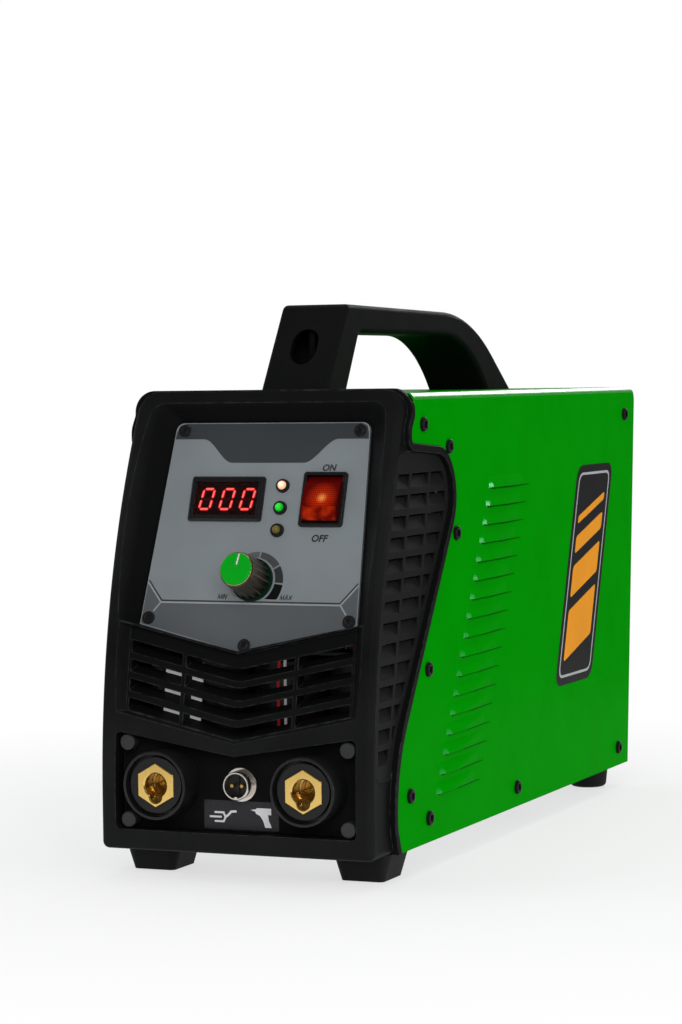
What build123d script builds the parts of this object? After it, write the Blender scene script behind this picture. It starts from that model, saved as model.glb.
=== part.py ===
"""Capacitor-discharge stud welding machine in a carry case.

Millimetres. X runs to the right as seen from the front, Y to the back and Z up. The origin lies on
the floor under the middle of the machine. Depths are measured back from the front rim and heights
up from the floor.
"""
import os
from math import atan, cos, degrees, radians, sin, sqrt, tan

from build123d import *

# Case
FRONT_WIDTH = 166.4        # moulded front, across its sides
COVER_WIDTH = 171.0        # sheet cover, outside
CASE_DEPTH = 474.5         # front rim to the rear top edge of the cover
BASE_Z = 15.5              # underside of the case
COVER_TOP_Z = 271.0
REAR_LEAN = 4.9            # degrees, rear edge of the cover leaning back
REAR_CORNER = 9.0          # rounded rear top corner of the cover
SHEET = 1.2                # cover, tray and rear panel
BEND = 4.0                 # outside radius of the cover's long bends
WALL = 3.0                 # moulded walls
FIT = 0.3                  # gap between neighbouring pieces

# Front rim, swept back in a large arc above the socket panel
BEZEL_TOP_Z = 273.5
SWEEP_Z = 45.0             # height where the arc starts
SWEEP_RADIUS = 478.0
FRONT_CORNER = 13.5        # top corners seen from the front
TOE_CORNER = 4.0           # bottom corners seen from the front
FRONT_EDGE = 4.0           # rounding all round the rim
RIM_UPPER = 10.9           # width of the rim beside the top of the plate
RIM_LOWER = 8.4            # width of the rim beside the grille
RIM_SOCKET = 9.7           # width of the rim beside the socket panel

# Lip line, the edge where the cover meets the moulded front: depth and height of its corners
LIP_BULGE = (62.5, 258.0)
LIP_NECK = (57.0, 250.0)
WING_TOP = (57.0, 242.8)
WING_NOSE = (150.4, 236.8)
WING_CHIN = (29.7, 63.5)
WING_TOE = (29.7, 30.0)
TOE_SLOPE = 0.38           # the lip runs back below the toe
LIP_RADII = (6.0, 6.0, 4.0, 29.0, 85.0, 25.0)
LIP_WIDTH = 4.3
LIP_PROUD = 1.0            # lip outside the cover
LIP_CORNER = 12.5          # top corners of the lip seen from the front
FLANGE_REACH = 26.0        # moulded flange under the cover, past the lip
FLANGE_Z = (40.0, 262.0)

# Side grilles
SEAM_DEPTH = 4.5           # front seam of the insert behind the rim face
INSERT_Z = (57.5, 237.5)
INSERT_TOP_RADIUS = 14.0
INSERT_TIP_RADIUS = 8.0
INSERT_LEDGE = 3.0
INSERT_LAP = 0.6           # seat ring let into the side wall
CELL_ROWS = 14
CELL_TOP_Z = 225.7
CELL_PITCH = 11.58
CELL_HEIGHT = 8.0
CELL_DEPTH = 3.45
CELL_BORDER = 4.0
RIB_DEPTH = 61.9           # first slanted rib, at the top row
RIB_PITCH = 29.3
RIB_WIDTH = 3.2
RIB_LEAN = 13.6            # degrees

# Control plate, a leaning trapezium with a chevron foot
PLATE_DEPTH = 15.3         # chevron point behind the rim face
PLATE_POINT_Z = 126.4
PLATE_LEAN = 19.4          # degrees
PLATE_HEIGHT = 136.0
PLATE_SHOULDER = 16.0      # height of the lower corners above the point
PLATE_SHEET = 2.0
PLATE_CORNER = 5.0         # top corners of the plate
PLATE_GAP = 0.4
PLATE_SEAT = 10.0          # flange that carries the plate
RUN_UPPER = 12.0           # sloped wall beside the top of the plate
RUN_TOP = 9.0              # sloped wall over the plate
CORNER_RUN = 3.0           # the corners widen by this up the wall
RUN_LOWER = 8.0            # sloped wall beside the foot of the plate
MOUTH_RISE = 11.0          # height of the sloped walls
MOUTH_OVERSHOOT = 1.6      # the mouth is cut on past the curved rim
SEAT_WALL = 2.5

# Chevron grille
BAR_DEPTH = 5.1            # bar faces behind the rim face, at the height below
BAR_Z = 86.6
BAR_LEAN = 10.0            # degrees
BAR_THICKNESS = 9.0
BAR_PITCH = 10.7
SLOT_ROWS = 4
SLOT_HEIGHT = 6.8
SLOT_TOP_Z = 118.0         # top of the first slot at the middle
SLOT_RISE = 12.7           # degrees, slope of the chevron
SLOT_APEX = 18.0
SLOT_TILT = 18.0           # degrees, slots climb inwards
SLOT_END = 1.6             # wall left at the ends of the slots
GRILLE_RUN = 5.5           # sloped walls beside the bars
GRILLE_RISE = 5.0
GRILLE_FOOT = 0.6          # floor left under the last slot
SLOT_RIB_X = 34.4
SLOT_RIB = 2.4

# Socket panel
RECESS_FOOT_Z = 27.2
RECESS_SIDE_Z = 82.5
RECESS_POINT_Z = 70.4
RECESS_CORNER = 3.0
PANEL_DEPTH = 11.5         # panel face behind the rim face
PANEL_SHEET = 5.0
PANEL_LEDGE = 5.0
SOCKET_X = 45.0
SOCKET_Z = 53.7
SOCKET_PROUD = 8.2         # socket rings ahead of the rim face

# Cover louvres and screws
LOUVRE_ROWS = 17
LOUVRE_DEPTH = 182.0       # front end of the top louvre
LOUVRE_Z = 213.0           # open lower edge of the top louvre
LOUVRE_PITCH = 10.74
LOUVRE_SHIFT = 5.79        # each louvre starts further forward than the one above
LOUVRE_LENGTH = 75.0
LOUVRE_HEIGHT = 8.5
LOUVRE_PROUD = 2.0
LOUVRE_HIP = 5.0           # slope at the front end
LOUVRE_RUN = 22.0          # crest, then a long slope to the rear end
LOUVRE_CREST = 1.6
LOUVRE_SLIT = 0.8
LOUVRE_ROUND = 3.0         # softened crest
WING_SCREWS = [(76.0, 253.0), (116.0, 239.5), (126.5, 189.0), (79.5, 114.0), (49.7, 45.8)]
TRAY_SCREWS = [(78.4, 29.4), (227.0, 27.5), (CASE_DEPTH - 44.1, 27.8)]
REAR_SCREW = (CASE_DEPTH - 24.5, 252.8)
SCREW_HEAD = 4.2           # radius
SCREW_RISE = 2.2
SCREW_SHANK = 2.0
SCREW_LENGTH = 10.0
SCREW_PLAY = 0.1
SCREW_EDGE = 1.2

# Handle, outer and inner lines as depth and height over the cover
HANDLE_WIDTH = 42.0
HANDLE_OUTER = [(88.0, 0.0), (122.5, 52.0), (330.0, 49.0), (404.5, 0.0)]
HANDLE_INNER = [(120.0, 0.0), (141.0, 35.2), (324.3, 35.2), (357.5, 0.0)]
HANDLE_OUTER_RADII = (5.0, 160.0)
HANDLE_INNER_RADII = (4.0, 106.0)
HANDLE_EDGE = 3.0
HANDLE_WALL = 3.5
HANDLE_PAD = 5.0
HANDLE_WEB = 3.5           # upright web inside the front leg
STRAP_WIDTH = 16.6
STRAP_LENGTH = 20.8
STRAP_CORNER = 8.0
STRAP_REACH = 30.0         # from the front foot of the handle to the web
STRAP_Z = 27.0             # middle of the strap slot over the cover
HANDLE_SCREW_X = 12.0
HANDLE_SCREW_DEPTHS = (103.0, 383.0)

# Base tray, rear panel and feet
TRAY_FRONT = 14.0
TRAY_TONGUE = 156.0
TRAY_START = 44.0
TRAY_FLANGE = 16.0
TRAY_VENTS = 8
TRAY_VENT_PITCH = 18.0
TRAY_VENT = (90.0, 5.0)
REAR_INSET = 7.0
REAR_FLANGE = 32.0
REAR_RADIUS = 3.0
FRONT_FOOT = (25.6, 28.7)  # sole of a front foot, across and along
FRONT_FOOT_X = 64.5
FRONT_FOOT_DEPTH = 43.1
FRONT_FOOT_TAPER = 4.6
REAR_FOOT = 12.0           # radius
REAR_FOOT_TAPER = 2.0
REAR_FOOT_X = 62.5
REAR_FOOT_EDGE = 3.0       # rounded sole edge
REAR_FOOT_DEPTH = CASE_DEPTH - 38.5
FOOT_BORE = 4.6
FOOT_SINK = 8.0
FOOT_BOSS = 6.0
FOOT_CORNER = 3.0

# Fan and gland on the rear panel
FAN_SIZE = 119.0
FAN_DEPTH = 25.0
FAN_BORE = 57.0
FAN_HUB = 22.0
FAN_TIP = 53.0
FAN_BLADES = 7
FAN_BLADE_SHEET = 1.6
FAN_ROOT = (20.0, 45.0)    # chord and pitch at the hub
FAN_END = (30.0, 28.0)     # chord and pitch at the tip
FAN_STRUTS = 3
FAN_STRUT = 5.0
FAN_STRUT_SHEET = 3.0
FAN_POST = 4.0
FAN_POST_HEIGHT = 16.0
FAN_GAP = 1.5
FAN_CORNER = 5.0
FAN_Z = 150.0              # along the rear panel
FAN_HOLES = 52.5           # half pitch of the corner screws
FAN_GRILLE_STEP = 9.0
FAN_GRILLE_SLOT = 5.0
FAN_GRILLE_RINGS = 5
FAN_GRILLE_SPOKE = 7.0
GLAND_X = 48.0
GLAND_Z = 42.0
GLAND_THREAD = 10.0
GLAND_FLATS = 24.0
GLAND_BORE = 5.5
GLAND_HEX = 6.0
GLAND_DOME = 11.0
GLAND_EDGE = 2.5
GLAND_TAIL = 9.0
GLAND_NUT = 5.0

# Controls on the plate: across and up from the chevron point
METER_AT = (-22.2, 90.2)
METER_SIZE = (45.6, 26.3)
METER_FRAME = 3.2
METER_PROUD = 2.6
METER_BODY = 14.0
METER_LAP = 1.4
METER_PANE = 1.2
METER_CORNER = 1.5
METER_BEVEL = 1.0
METER_SINK = 0.6           # pane below the frame
LAMP_U = 11.4
LAMP_ROWS = (98.2, 85.2, 72.0)
LAMP_RADIUS = 2.5
LAMP_RING = 4.1
LAMP_RING_PROUD = 2.0
LAMP_PROUD = 2.2           # dome beyond its ring
LAMP_TUBE = 3.2
LAMP_TAPER = 12.0
LAMP_LENGTH = 8.0
LAMP_DOME = 2.4
SWITCH_AT = (37.4, 90.2)
SWITCH_SIZE = (26.8, 32.2)
SWITCH_WINDOW = (22.4, 28.2)
SWITCH_PROUD = 2.2
SWITCH_BODY = 20.0
SWITCH_WALL = 0.9
SWITCH_CORNER = 2.0
SWITCH_EDGE = 0.9
SWITCH_TAB = (0.8, 6.3)
SWITCH_TAB_PITCH = 9.0
SWITCH_TAB_LENGTH = 8.0
ROCKER_PLAY = 0.4
ROCKER_TILT = 11.0         # degrees either side of level
ROCKER_PIVOT = -2.5        # pivot below the plate face
ROCKER_END = 13.3
ROCKER_RIDGE = 6.8
ROCKER_PIN = 1.5
ROCKER_SKIRT = 2.0
ROCKER_SHOULDER = 4.0
ROCKER_CREST = 7.9
ROCKER_VALLEY = 7.5
ROCKER_FOOT = 4.0
ROCKER_EDGE = 0.5
KNOB_AT = (0.4, 42.6)
KNOB_CAP = 9.3             # radius
KNOB_FLANGE = 12.4
KNOB_TOP = 25.0
KNOB_FOOT = 0.8
KNOB_BODY = 8.2
KNOB_SLEEVE = 11.6
KNOB_SLEEVE_TOP = 10.2
KNOB_FLUTES = 18
KNOB_FLUTE = 1.5
KNOB_TURN = 8.0            # degrees clockwise from straight up
KNOB_LID = 2.0
KNOB_EDGE = 0.8
KNOB_LINE = 1.6            # pointer groove in the cap
KNOB_LINE_LENGTH = 8.0
KNOB_LINE_DEPTH = 0.5
KNOB_FLANGE_SHEET = 1.8
KNOB_RECESS = 7.2
SHAFT = 3.0
SHAFT_TAIL = 3.0           # shaft end behind the plate face
BUSHING = 4.5
BUSHING_TOP = 4.0
POT_BODY = 11.5
POT_DEPTH = 10.0
POT_NUT = (12.0, 2.0)
SHAFT_PLAY = 0.08
POT_TAG = (2.0, 9.0)
POT_TAG_PITCH = 5.0
POT_TAG_SHEET = 0.8
PLATE_SCREW_HEAD = 3.75
PLATE_SCREW_SHANK = 2.0
PLATE_SCREW_LENGTH = 9.0
TOP_SCREW = (5.6, 5.0)     # in from the top corners
SIDE_SCREW = (5.1, 3.7)    # in and up from the lower corners
POINT_SCREW = 4.9

# Sockets and gun connector
SOCKET_RING = 19.2         # outside radius
SOCKET_RIM = 1.5
SOCKET_LAND = 15.65
SOCKET_SINK = 2.4          # land behind the rim
SOCKET_GROOVE = 4.0
SOCKET_BARREL = 15.5
SOCKET_BARREL_LENGTH = 14.0
HEX_FLATS = 22.0
HEX_PROUD = 0.7
BORE = 6.7
BORE_DEPTH = 28.0
KEY_WIDTH = 7.2
KEY_DEPTH = 3.1
STUD = 6.0
STUD_LENGTH = 18.0
SOCKET_EDGE = 0.6
SOCKET_FLOOR = 3.0
RING_NUT = (17.8, 4.0)
RING_NUT_NOTCHES = 6
RING_NUT_NOTCH = 2.0
CONNECTOR_Z = 53.8
CONNECTOR_SHELL = 8.0
CONNECTOR_FLANGE = 9.5
CONNECTOR_FLANGE_SHEET = 1.5
CONNECTOR_PROUD = 8.5
CONNECTOR_BORE = 6.9
CONNECTOR_TAIL = 9.0
CONNECTOR_NUT = (20.0, 3.0)
PIN = 1.0
PIN_X = 3.0
CONNECTOR_EDGE = 0.4
CONNECTOR_KEY = 1.8
CONNECTOR_SLOT = 9.6       # groove across the insert face
CONNECTOR_FACE = 2.5       # insert face ahead of the panel
PIN_PROUD = 4.5
PIN_TAIL = 3.0
CAP = 4.6
CAP_HEIGHT = 8.0
CAP_X = 67.3
CAP_ROWS = (76.0, 32.2)
CAP_SHANK = 2.0
CAP_BOSS = 6.0
CAP_EDGE = 0.8

# Inside
CAN_SIDE = 15.0            # cans in from the sides of the cover
CAN_GAP = 3.0              # between cans side by side
CAN_PITCH = (COVER_WIDTH - 2 * CAN_SIDE + CAN_GAP) / 3
CAN = (CAN_PITCH - CAN_GAP) / 2    # radius
CAN_HEIGHT = 100.0
CAN_EDGE = 2.0
CAN_X = (-CAN_PITCH, 0.0, CAN_PITCH)
CAN_DEPTHS = (84.0, 136.0, 188.0)
CAN_POST_X = 11.0
CAN_POST = (5.0, 2.5)
BANK_BOARD = 2.0
BANK_SCREW = (4.0, 3.0)
CORE_SIZE = (84.0, 40.0, 72.0)
CORE_LIMB = 14.0
CORE_DEPTH = 330.0
COIL_GAP = 0.6
COIL_SWELL = 13.0
COIL_CORNER = 5.0
SINK_SIZE = (110.0, 60.0, 62.0)
SINK_DEPTH = 252.0
SINK_FINS = 11
SINK_SPACE = 7.0           # between fins
SINK_BASE = 10.0
MODULE_SIZE = (92.0, 34.0, 28.0)
RELAY_SIZE = (28.0, 24.0, 36.0)
RELAY_AT = (-58.0, CASE_DEPTH - 79.5)
BOARD_OFF = 22.0           # control board behind the plate face
BOARD_SHEET = 1.6
BOARD_U = (-52.0, 48.0)
BOARD_V = (8.0, 66.0)
POST = 3.0
POST_AT = [(-40.0, 30.0), (42.0, 30.0), (-40.0, 60.0), (42.0, 60.0)]
BOARD_CHIPS = [
    ((-30.0, 45.0), (18.0, 10.0), 6.0),
    ((-6.0, 50.0), (12.0, 20.0), 4.0),
    ((20.0, 50.0), (16.0, 12.0), 8.0),
    ((-28.0, 20.0), (10.0, 14.0), 3.0),
    ((28.0, 22.0), (14.0, 9.0), 7.0),
]
BOARD_DRUMS = [((38.0, 46.0), 5.0, 14.0), ((6.0, 20.0), 4.0, 11.0), ((-8.0, 22.0), 4.0, 11.0)]
STRIP_X = (-50.0, -27.0)
STRIP_Z = (84.0, 122.0)
STRIP_SHEET = 1.5
LEAD = 4.2                 # radius of the weld leads
LEAD_BEND = 12.0
LUG = (9.0, 3.0)
LUG_ANGLE = 40.0           # degrees, lug turned up from level
LEAD_X = 62.0
TERMINAL = 6.0
TERMINAL_DEPTH = 69.0
WIRE = 0.8
WIRE_BEND = 6.0
WIRE_X = (12.0, 15.0)
WIRE_DEPTHS = (36.0, 39.0)
WIRE_RISE = (72.0, 114.0)

CORNER_LOSS = REAR_CORNER * (tan(radians(REAR_LEAN)) + 1 / cos(radians(REAR_LEAN)) - 1)
FACE_Y = (SOCKET_PROUD + CORNER_LOSS - CASE_DEPTH) / 2    # the case stands over the origin
FRONT_HALF = FRONT_WIDTH / 2
COVER_HALF = COVER_WIDTH / 2
LIP_HALF = COVER_HALF + LIP_PROUD
SKIN_HALF = COVER_HALF - SHEET - FIT      # pieces that line the cover
FAR = 2 * CASE_DEPTH
MARGIN = 20.0                             # outlines run on past the case before they are trimmed


def back(depth):
    """Y at a distance behind the rim face."""
    return FACE_Y + depth


def face_depth(height, inset=0.0):
    """Depth of the front face, or of a parallel inside it, at a height."""
    if height <= SWEEP_Z:
        return inset
    return SWEEP_RADIUS - sqrt((SWEEP_RADIUS - inset) ** 2 - (height - SWEEP_Z) ** 2)


def ahead_of_lip(grow=0.0):
    """Side view, depth across and height up, of everything ahead of the lip line."""
    top = BEZEL_TOP_Z + MARGIN
    foot = BASE_Z - MARGIN
    toe_depth = WING_TOE[0] + TOE_SLOPE * (WING_TOE[1] - foot)
    corners = [LIP_BULGE, LIP_NECK, WING_TOP, WING_NOSE, WING_CHIN, WING_TOE]
    line = [(LIP_BULGE[0], top)] + corners + [(toe_depth, foot)]
    line += [(-3 * MARGIN, foot), (-3 * MARGIN, top)]
    radii = [0.0] + list(LIP_RADII) + [0.0, 0.0, 0.0]
    with BuildSketch(Plane.XY) as region:
        with BuildLine():
            FilletPolyline([(back(d), z) for d, z in line], radius=radii, close=True)
        make_face()
        if grow:
            offset(amount=grow)
    return region.sketch_local


def behind_face(inset=0.0):
    """Side view of everything behind the front face, or behind a parallel inside it."""
    top = BEZEL_TOP_Z + MARGIN
    foot = BASE_Z - MARGIN
    with BuildSketch(Plane.XY) as region:
        with BuildLine():
            Line((back(inset), foot), (back(inset), SWEEP_Z))
            TangentArc((back(inset), SWEEP_Z), (back(face_depth(top, inset)), top), tangent=(0, 1))
            Polyline(
                (back(face_depth(top, inset)), top), (FAR, top), (FAR, foot), (back(inset), foot)
            )
        make_face()
    return region.sketch_local


def band(low, high):
    """Side view of the strip between two heights."""
    with BuildSketch(Plane.XY) as region:
        with Locations((0, (low + high) / 2)):
            Rectangle(FAR, high - low)
    return region.sketch_local


def on_side(region, x=0.0):
    """A side-view region placed on the plane at x."""
    with BuildSketch(Plane.YZ.offset(x)) as placed:
        add(region)
    return placed.sketch


def front_outline(inset=0.0):
    """Front view of the moulded front."""
    height = BEZEL_TOP_Z - BASE_Z - 2 * inset
    with BuildSketch(Plane.XZ) as outline:
        with Locations((0, (BEZEL_TOP_Z + BASE_Z) / 2)):
            Rectangle(FRONT_WIDTH - 2 * inset, height)
        fillet(outline.vertices().group_by(Axis.Y)[-1], FRONT_CORNER - inset)
        fillet(outline.vertices().group_by(Axis.Y)[0], TOE_CORNER - inset)
    return outline.sketch


# Front bezel, step by step: outer block, hollow, pockets for plate, grille and sockets
with BuildPart() as front_block:
    extrude(front_outline(), amount=FAR, both=True)
    extrude(on_side(behind_face()), amount=FAR, both=True, mode=Mode.INTERSECT)
    rim_edges = front_block.edges().filter_by(
        lambda e: abs(e.center().Y - back(face_depth(e.center().Z))) < 1.0
        and (abs(e.center().X) > 1.0 or abs(e.center().Z - SWEEP_Z) > 1.0)
    )
    fillet(rim_edges, FRONT_EDGE)

with BuildPart() as front_envelope:
    add(front_block.part)
    extrude(on_side(ahead_of_lip()), amount=FAR, both=True, mode=Mode.INTERSECT)

with BuildPart() as front_hollow:
    extrude(front_outline(WALL), amount=FAR, both=True)
    extrude(on_side(behind_face(WALL)), amount=FAR, both=True, mode=Mode.INTERSECT)

plate_plane = Plane(
    origin=(0, back(PLATE_DEPTH), PLATE_POINT_Z),
    x_dir=(1, 0, 0),
    z_dir=(0, -cos(radians(PLATE_LEAN)), sin(radians(PLATE_LEAN))),
)
bar_plane = Plane(
    origin=(0, back(BAR_DEPTH), BAR_Z),
    x_dir=(1, 0, 0),
    z_dir=(0, -cos(radians(BAR_LEAN)), sin(radians(BAR_LEAN))),
)
MOUTH_TOP_HALF = FRONT_HALF - RIM_UPPER
MOUTH_LOW_HALF = FRONT_HALF - RIM_LOWER
PLATE_TOP_HALF = MOUTH_TOP_HALF - RUN_UPPER
PLATE_LOW_HALF = MOUTH_LOW_HALF - RUN_LOWER
SLOT_SLOPE = tan(radians(SLOT_RISE))


def plate_outline(plane, run=0.0, grow=0.0):
    """Plate outline on a plane, with the walls run out by a share and grown all round."""
    top = PLATE_HEIGHT + run * RUN_TOP
    top_half = PLATE_TOP_HALF + run * RUN_UPPER
    low_half = PLATE_LOW_HALF + run * RUN_LOWER
    with BuildSketch(plane) as outline:
        with BuildLine():
            Polyline(
                (-top_half, top), (top_half, top), (low_half, PLATE_SHOULDER),
                (0, 0), (-low_half, PLATE_SHOULDER), close=True,
            )
        make_face()
        if grow:
            offset(amount=grow, kind=Kind.INTERSECTION)
        fillet(outline.vertices().group_by(Axis.Y)[-1], PLATE_CORNER + run * CORNER_RUN)
    return outline.sketch


def grille_outline(plane, run=0.0, grow=0.0):
    """Outline of the grille pocket on a plane, with its walls run out by a share."""
    half = MOUTH_LOW_HALF - GRILLE_RUN + run * GRILLE_RUN
    slot_foot = SLOT_TOP_Z - (SLOT_ROWS - 1) * BAR_PITCH - SLOT_HEIGHT - GRILLE_FOOT
    foot = (slot_foot - BAR_Z) / cos(radians(BAR_LEAN)) - run * GRILLE_RUN / 2
    top = (PLATE_POINT_Z - BAR_Z) / cos(radians(BAR_LEAN))
    rise = half * SLOT_SLOPE
    with BuildSketch(plane) as outline:
        with BuildLine():
            Polyline(
                (-half, top + rise), (0, top), (half, top + rise),
                (half, foot + rise), (0, foot), (-half, foot + rise), close=True,
            )
        make_face()
        if grow:
            offset(amount=grow, kind=Kind.INTERSECTION)
    return outline.sketch


def recess_outline(plane, grow=0.0):
    """Outline of the socket recess on a plane parallel to the front."""
    half = FRONT_HALF - RIM_SOCKET
    with BuildSketch(plane) as outline:
        with BuildLine():
            Polyline(
                (-half, RECESS_SIDE_Z), (0, RECESS_POINT_Z), (half, RECESS_SIDE_Z),
                (half, RECESS_FOOT_Z), (-half, RECESS_FOOT_Z), close=True,
            )
        make_face()
        if grow:
            offset(amount=grow, kind=Kind.INTERSECTION)
        fillet(outline.vertices().filter_by(lambda v: abs(v.X) > 1.0), RECESS_CORNER)
    return outline.sketch


def pocket(outline, floor, rise, grow):
    """Loft from an outline on its floor to the run-out outline past the rim."""
    plane = plate_plane if outline is plate_outline else bar_plane
    with BuildPart() as cut:
        loft(
            [
                outline(plane.offset(floor), 0.0, grow),
                outline(plane.offset(rise * MOUTH_OVERSHOOT), MOUTH_OVERSHOOT, grow),
            ],
            ruled=True,
        )
    return cut.part


plate_pocket = pocket(plate_outline, -PLATE_SHEET, MOUTH_RISE, PLATE_GAP)
plate_cup = pocket(plate_outline, -PLATE_SHEET - SEAT_WALL, MOUTH_RISE, WALL)
grille_pocket = pocket(grille_outline, 0.0, GRILLE_RISE, 0.0)
grille_cup = pocket(grille_outline, -BAR_THICKNESS, GRILLE_RISE, WALL)

panel_plane = Plane.XZ.offset(-back(PANEL_DEPTH))
PANEL_BACK = PANEL_DEPTH + PANEL_SHEET
with BuildPart() as front_cups:
    add(plate_cup)
    add(grille_cup)
    extrude(recess_outline(panel_plane, WALL), amount=PANEL_DEPTH)
    extrude(recess_outline(panel_plane, WALL), amount=-PANEL_SHEET - WALL)
    add(front_block.part, mode=Mode.INTERSECT)


def slot_sketches():
    """Chevron slots between the bars, on the plane of the bar faces."""
    scale = 1 / cos(radians(BAR_LEAN))
    half = MOUTH_LOW_HALF - GRILLE_RUN - SLOT_END
    inner = SLOT_RIB_X - SLOT_RIB / 2
    outer = SLOT_RIB_X + SLOT_RIB / 2
    with BuildSketch(bar_plane) as slots:
        for row in range(SLOT_ROWS):
            top = (SLOT_TOP_Z - row * BAR_PITCH - BAR_Z) * scale
            foot = top - SLOT_HEIGHT * scale
            with BuildLine():
                FilletPolyline(
                    (-inner, top + inner * SLOT_SLOPE), (0, top), (inner, top + inner * SLOT_SLOPE),
                    (inner, foot + inner * SLOT_SLOPE), (0, foot), (-inner, foot + inner * SLOT_SLOPE),
                    radius=[0.0, SLOT_APEX, 0.0, 0.0, SLOT_APEX, 0.0], close=True,
                )
            make_face()
            for side in (-1, 1):
                with BuildLine():
                    Polyline(
                        (side * outer, top + outer * SLOT_SLOPE), (side * half, top + half * SLOT_SLOPE),
                        (side * half, foot + half * SLOT_SLOPE), (side * outer, foot + outer * SLOT_SLOPE),
                        close=True,
                    )
                make_face()
    return slots.sketch


def insert_region(grow=0.0):
    """Side view of a side grille insert."""
    with BuildSketch(Plane.XY) as region:
        add(ahead_of_lip(grow - LIP_WIDTH - FIT))
        add(behind_face(SEAM_DEPTH - grow), mode=Mode.INTERSECT)
        add(band(INSERT_Z[0] - grow, INSERT_Z[1] + grow), mode=Mode.INTERSECT)
        top_corner = region.vertices().group_by(Axis.Y)[-1].sort_by(Axis.X)[0]
        fillet(top_corner, INSERT_TOP_RADIUS + grow)
        fillet(region.vertices().group_by(Axis.Y)[0], INSERT_TIP_RADIUS + grow)
    return region.sketch_local


def section(width, top, foot, radius):
    """Front view of a rectangle standing on a height, with rounded top corners."""
    with BuildSketch(Plane.XZ) as outline:
        with Locations((0, (top + foot) / 2)):
            Rectangle(width, top - foot)
        fillet(outline.vertices().group_by(Axis.Y)[-1], radius)
    return outline.sketch


def place(part, name):
    """Label a finished piece and write it out."""
    part.label = name
    export_step(part, "parts/" + name + ".step")


os.makedirs("parts", exist_ok=True)
WALL_IN = FRONT_HALF - WALL
COVER_SCREWS = WING_SCREWS + TRAY_SCREWS + [REAR_SCREW]

with BuildSketch(Plane.XY) as lip_strip:
    add(ahead_of_lip())
    add(ahead_of_lip(-LIP_WIDTH), mode=Mode.SUBTRACT)
    add(behind_face(), mode=Mode.INTERSECT)

with BuildSketch(Plane.XY) as flange_strip:
    add(ahead_of_lip(FLANGE_REACH))
    add(ahead_of_lip(-LIP_WIDTH), mode=Mode.SUBTRACT)
    add(behind_face(2 * WALL), mode=Mode.INTERSECT)
    add(band(*FLANGE_Z), mode=Mode.INTERSECT)

with BuildSketch(Plane.XY) as insert_ring:
    add(insert_region(INSERT_LEDGE))
    add(insert_region(-INSERT_LEDGE), mode=Mode.SUBTRACT)

with BuildPart() as lip:
    extrude(section(2 * LIP_HALF, BEZEL_TOP_Z, BASE_Z, LIP_CORNER), amount=FAR, both=True)
    extrude(on_side(lip_strip.sketch_local), amount=FAR, both=True, mode=Mode.INTERSECT)
    add(front_hollow.part, mode=Mode.SUBTRACT)

with BuildPart() as flanges:
    extrude(on_side(flange_strip.sketch_local, SKIN_HALF - WALL), amount=WALL)
    extrude(on_side(insert_ring.sketch_local, WALL_IN - WALL), amount=WALL + INSERT_LAP)
    mirror(about=Plane.YZ)

with BuildPart() as insert_seats:
    extrude(on_side(insert_region(FIT), WALL_IN), amount=2 * WALL)
    extrude(on_side(insert_region(-INSERT_LEDGE), WALL_IN - 2 * WALL), amount=3 * WALL)
    mirror(about=Plane.YZ)


def screw_points(places, grow):
    """Side view of round holes at a list of depths and heights."""
    with BuildSketch(Plane.YZ) as holes:
        with Locations(*[(back(d), z) for d, z in places]):
            Circle(grow)
    return holes.sketch


PLATE_SCREWS = [
    (PLATE_TOP_HALF - TOP_SCREW[0], PLATE_HEIGHT - TOP_SCREW[1]),
    (TOP_SCREW[0] - PLATE_TOP_HALF, PLATE_HEIGHT - TOP_SCREW[1]),
    (PLATE_LOW_HALF - SIDE_SCREW[0], PLATE_SHOULDER + SIDE_SCREW[1]),
    (SIDE_SCREW[0] - PLATE_LOW_HALF, PLATE_SHOULDER + SIDE_SCREW[1]),
    (0, POINT_SCREW),
]
CAPS = [(side * CAP_X, z) for side in (-1, 1) for z in CAP_ROWS]
with BuildSketch(plate_plane) as plate_screw_holes:
    with Locations(*PLATE_SCREWS):
        Circle(PLATE_SCREW_SHANK + SCREW_PLAY)
with BuildSketch(panel_plane) as cap_holes:
    with Locations(*CAPS):
        Circle(CAP_SHANK + SCREW_PLAY)
with BuildSketch(panel_plane) as panel_window:
    add(recess_outline(Plane.XY, -PANEL_LEDGE))
    with Locations(*CAPS):
        Circle(CAP_BOSS, mode=Mode.SUBTRACT)

with BuildPart() as front_bezel:
    add(front_envelope.part)
    add(front_hollow.part, mode=Mode.SUBTRACT)
    add(front_cups.part)
    add(lip.part)
    add(flanges.part)
    add(insert_seats.part, mode=Mode.SUBTRACT)
    add(plate_pocket, mode=Mode.SUBTRACT)
    add(grille_pocket, mode=Mode.SUBTRACT)
    extrude(recess_outline(panel_plane), amount=2 * PANEL_DEPTH, mode=Mode.SUBTRACT)
    extrude(recess_outline(panel_plane), amount=-PANEL_SHEET, mode=Mode.SUBTRACT)
    extrude(panel_window.sketch, amount=-2 * PANEL_BACK, mode=Mode.SUBTRACT)
    extrude(cap_holes.sketch, amount=-2 * PANEL_BACK, mode=Mode.SUBTRACT)
    extrude(plate_outline(plate_plane, 0.0, -PLATE_SEAT), amount=-2 * MOUTH_RISE, mode=Mode.SUBTRACT)
    extrude(plate_screw_holes.sketch, amount=-2 * MOUTH_RISE, mode=Mode.SUBTRACT)
    extrude(
        slot_sketches(), amount=3 * BAR_THICKNESS,
        dir=(0, cos(radians(SLOT_TILT)), sin(radians(SLOT_TILT))), mode=Mode.SUBTRACT,
    )
    extrude(screw_points(WING_SCREWS, SCREW_SHANK + SCREW_PLAY), amount=FAR, both=True, mode=Mode.SUBTRACT)
place(front_bezel.part, "front_bezel")

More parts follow.
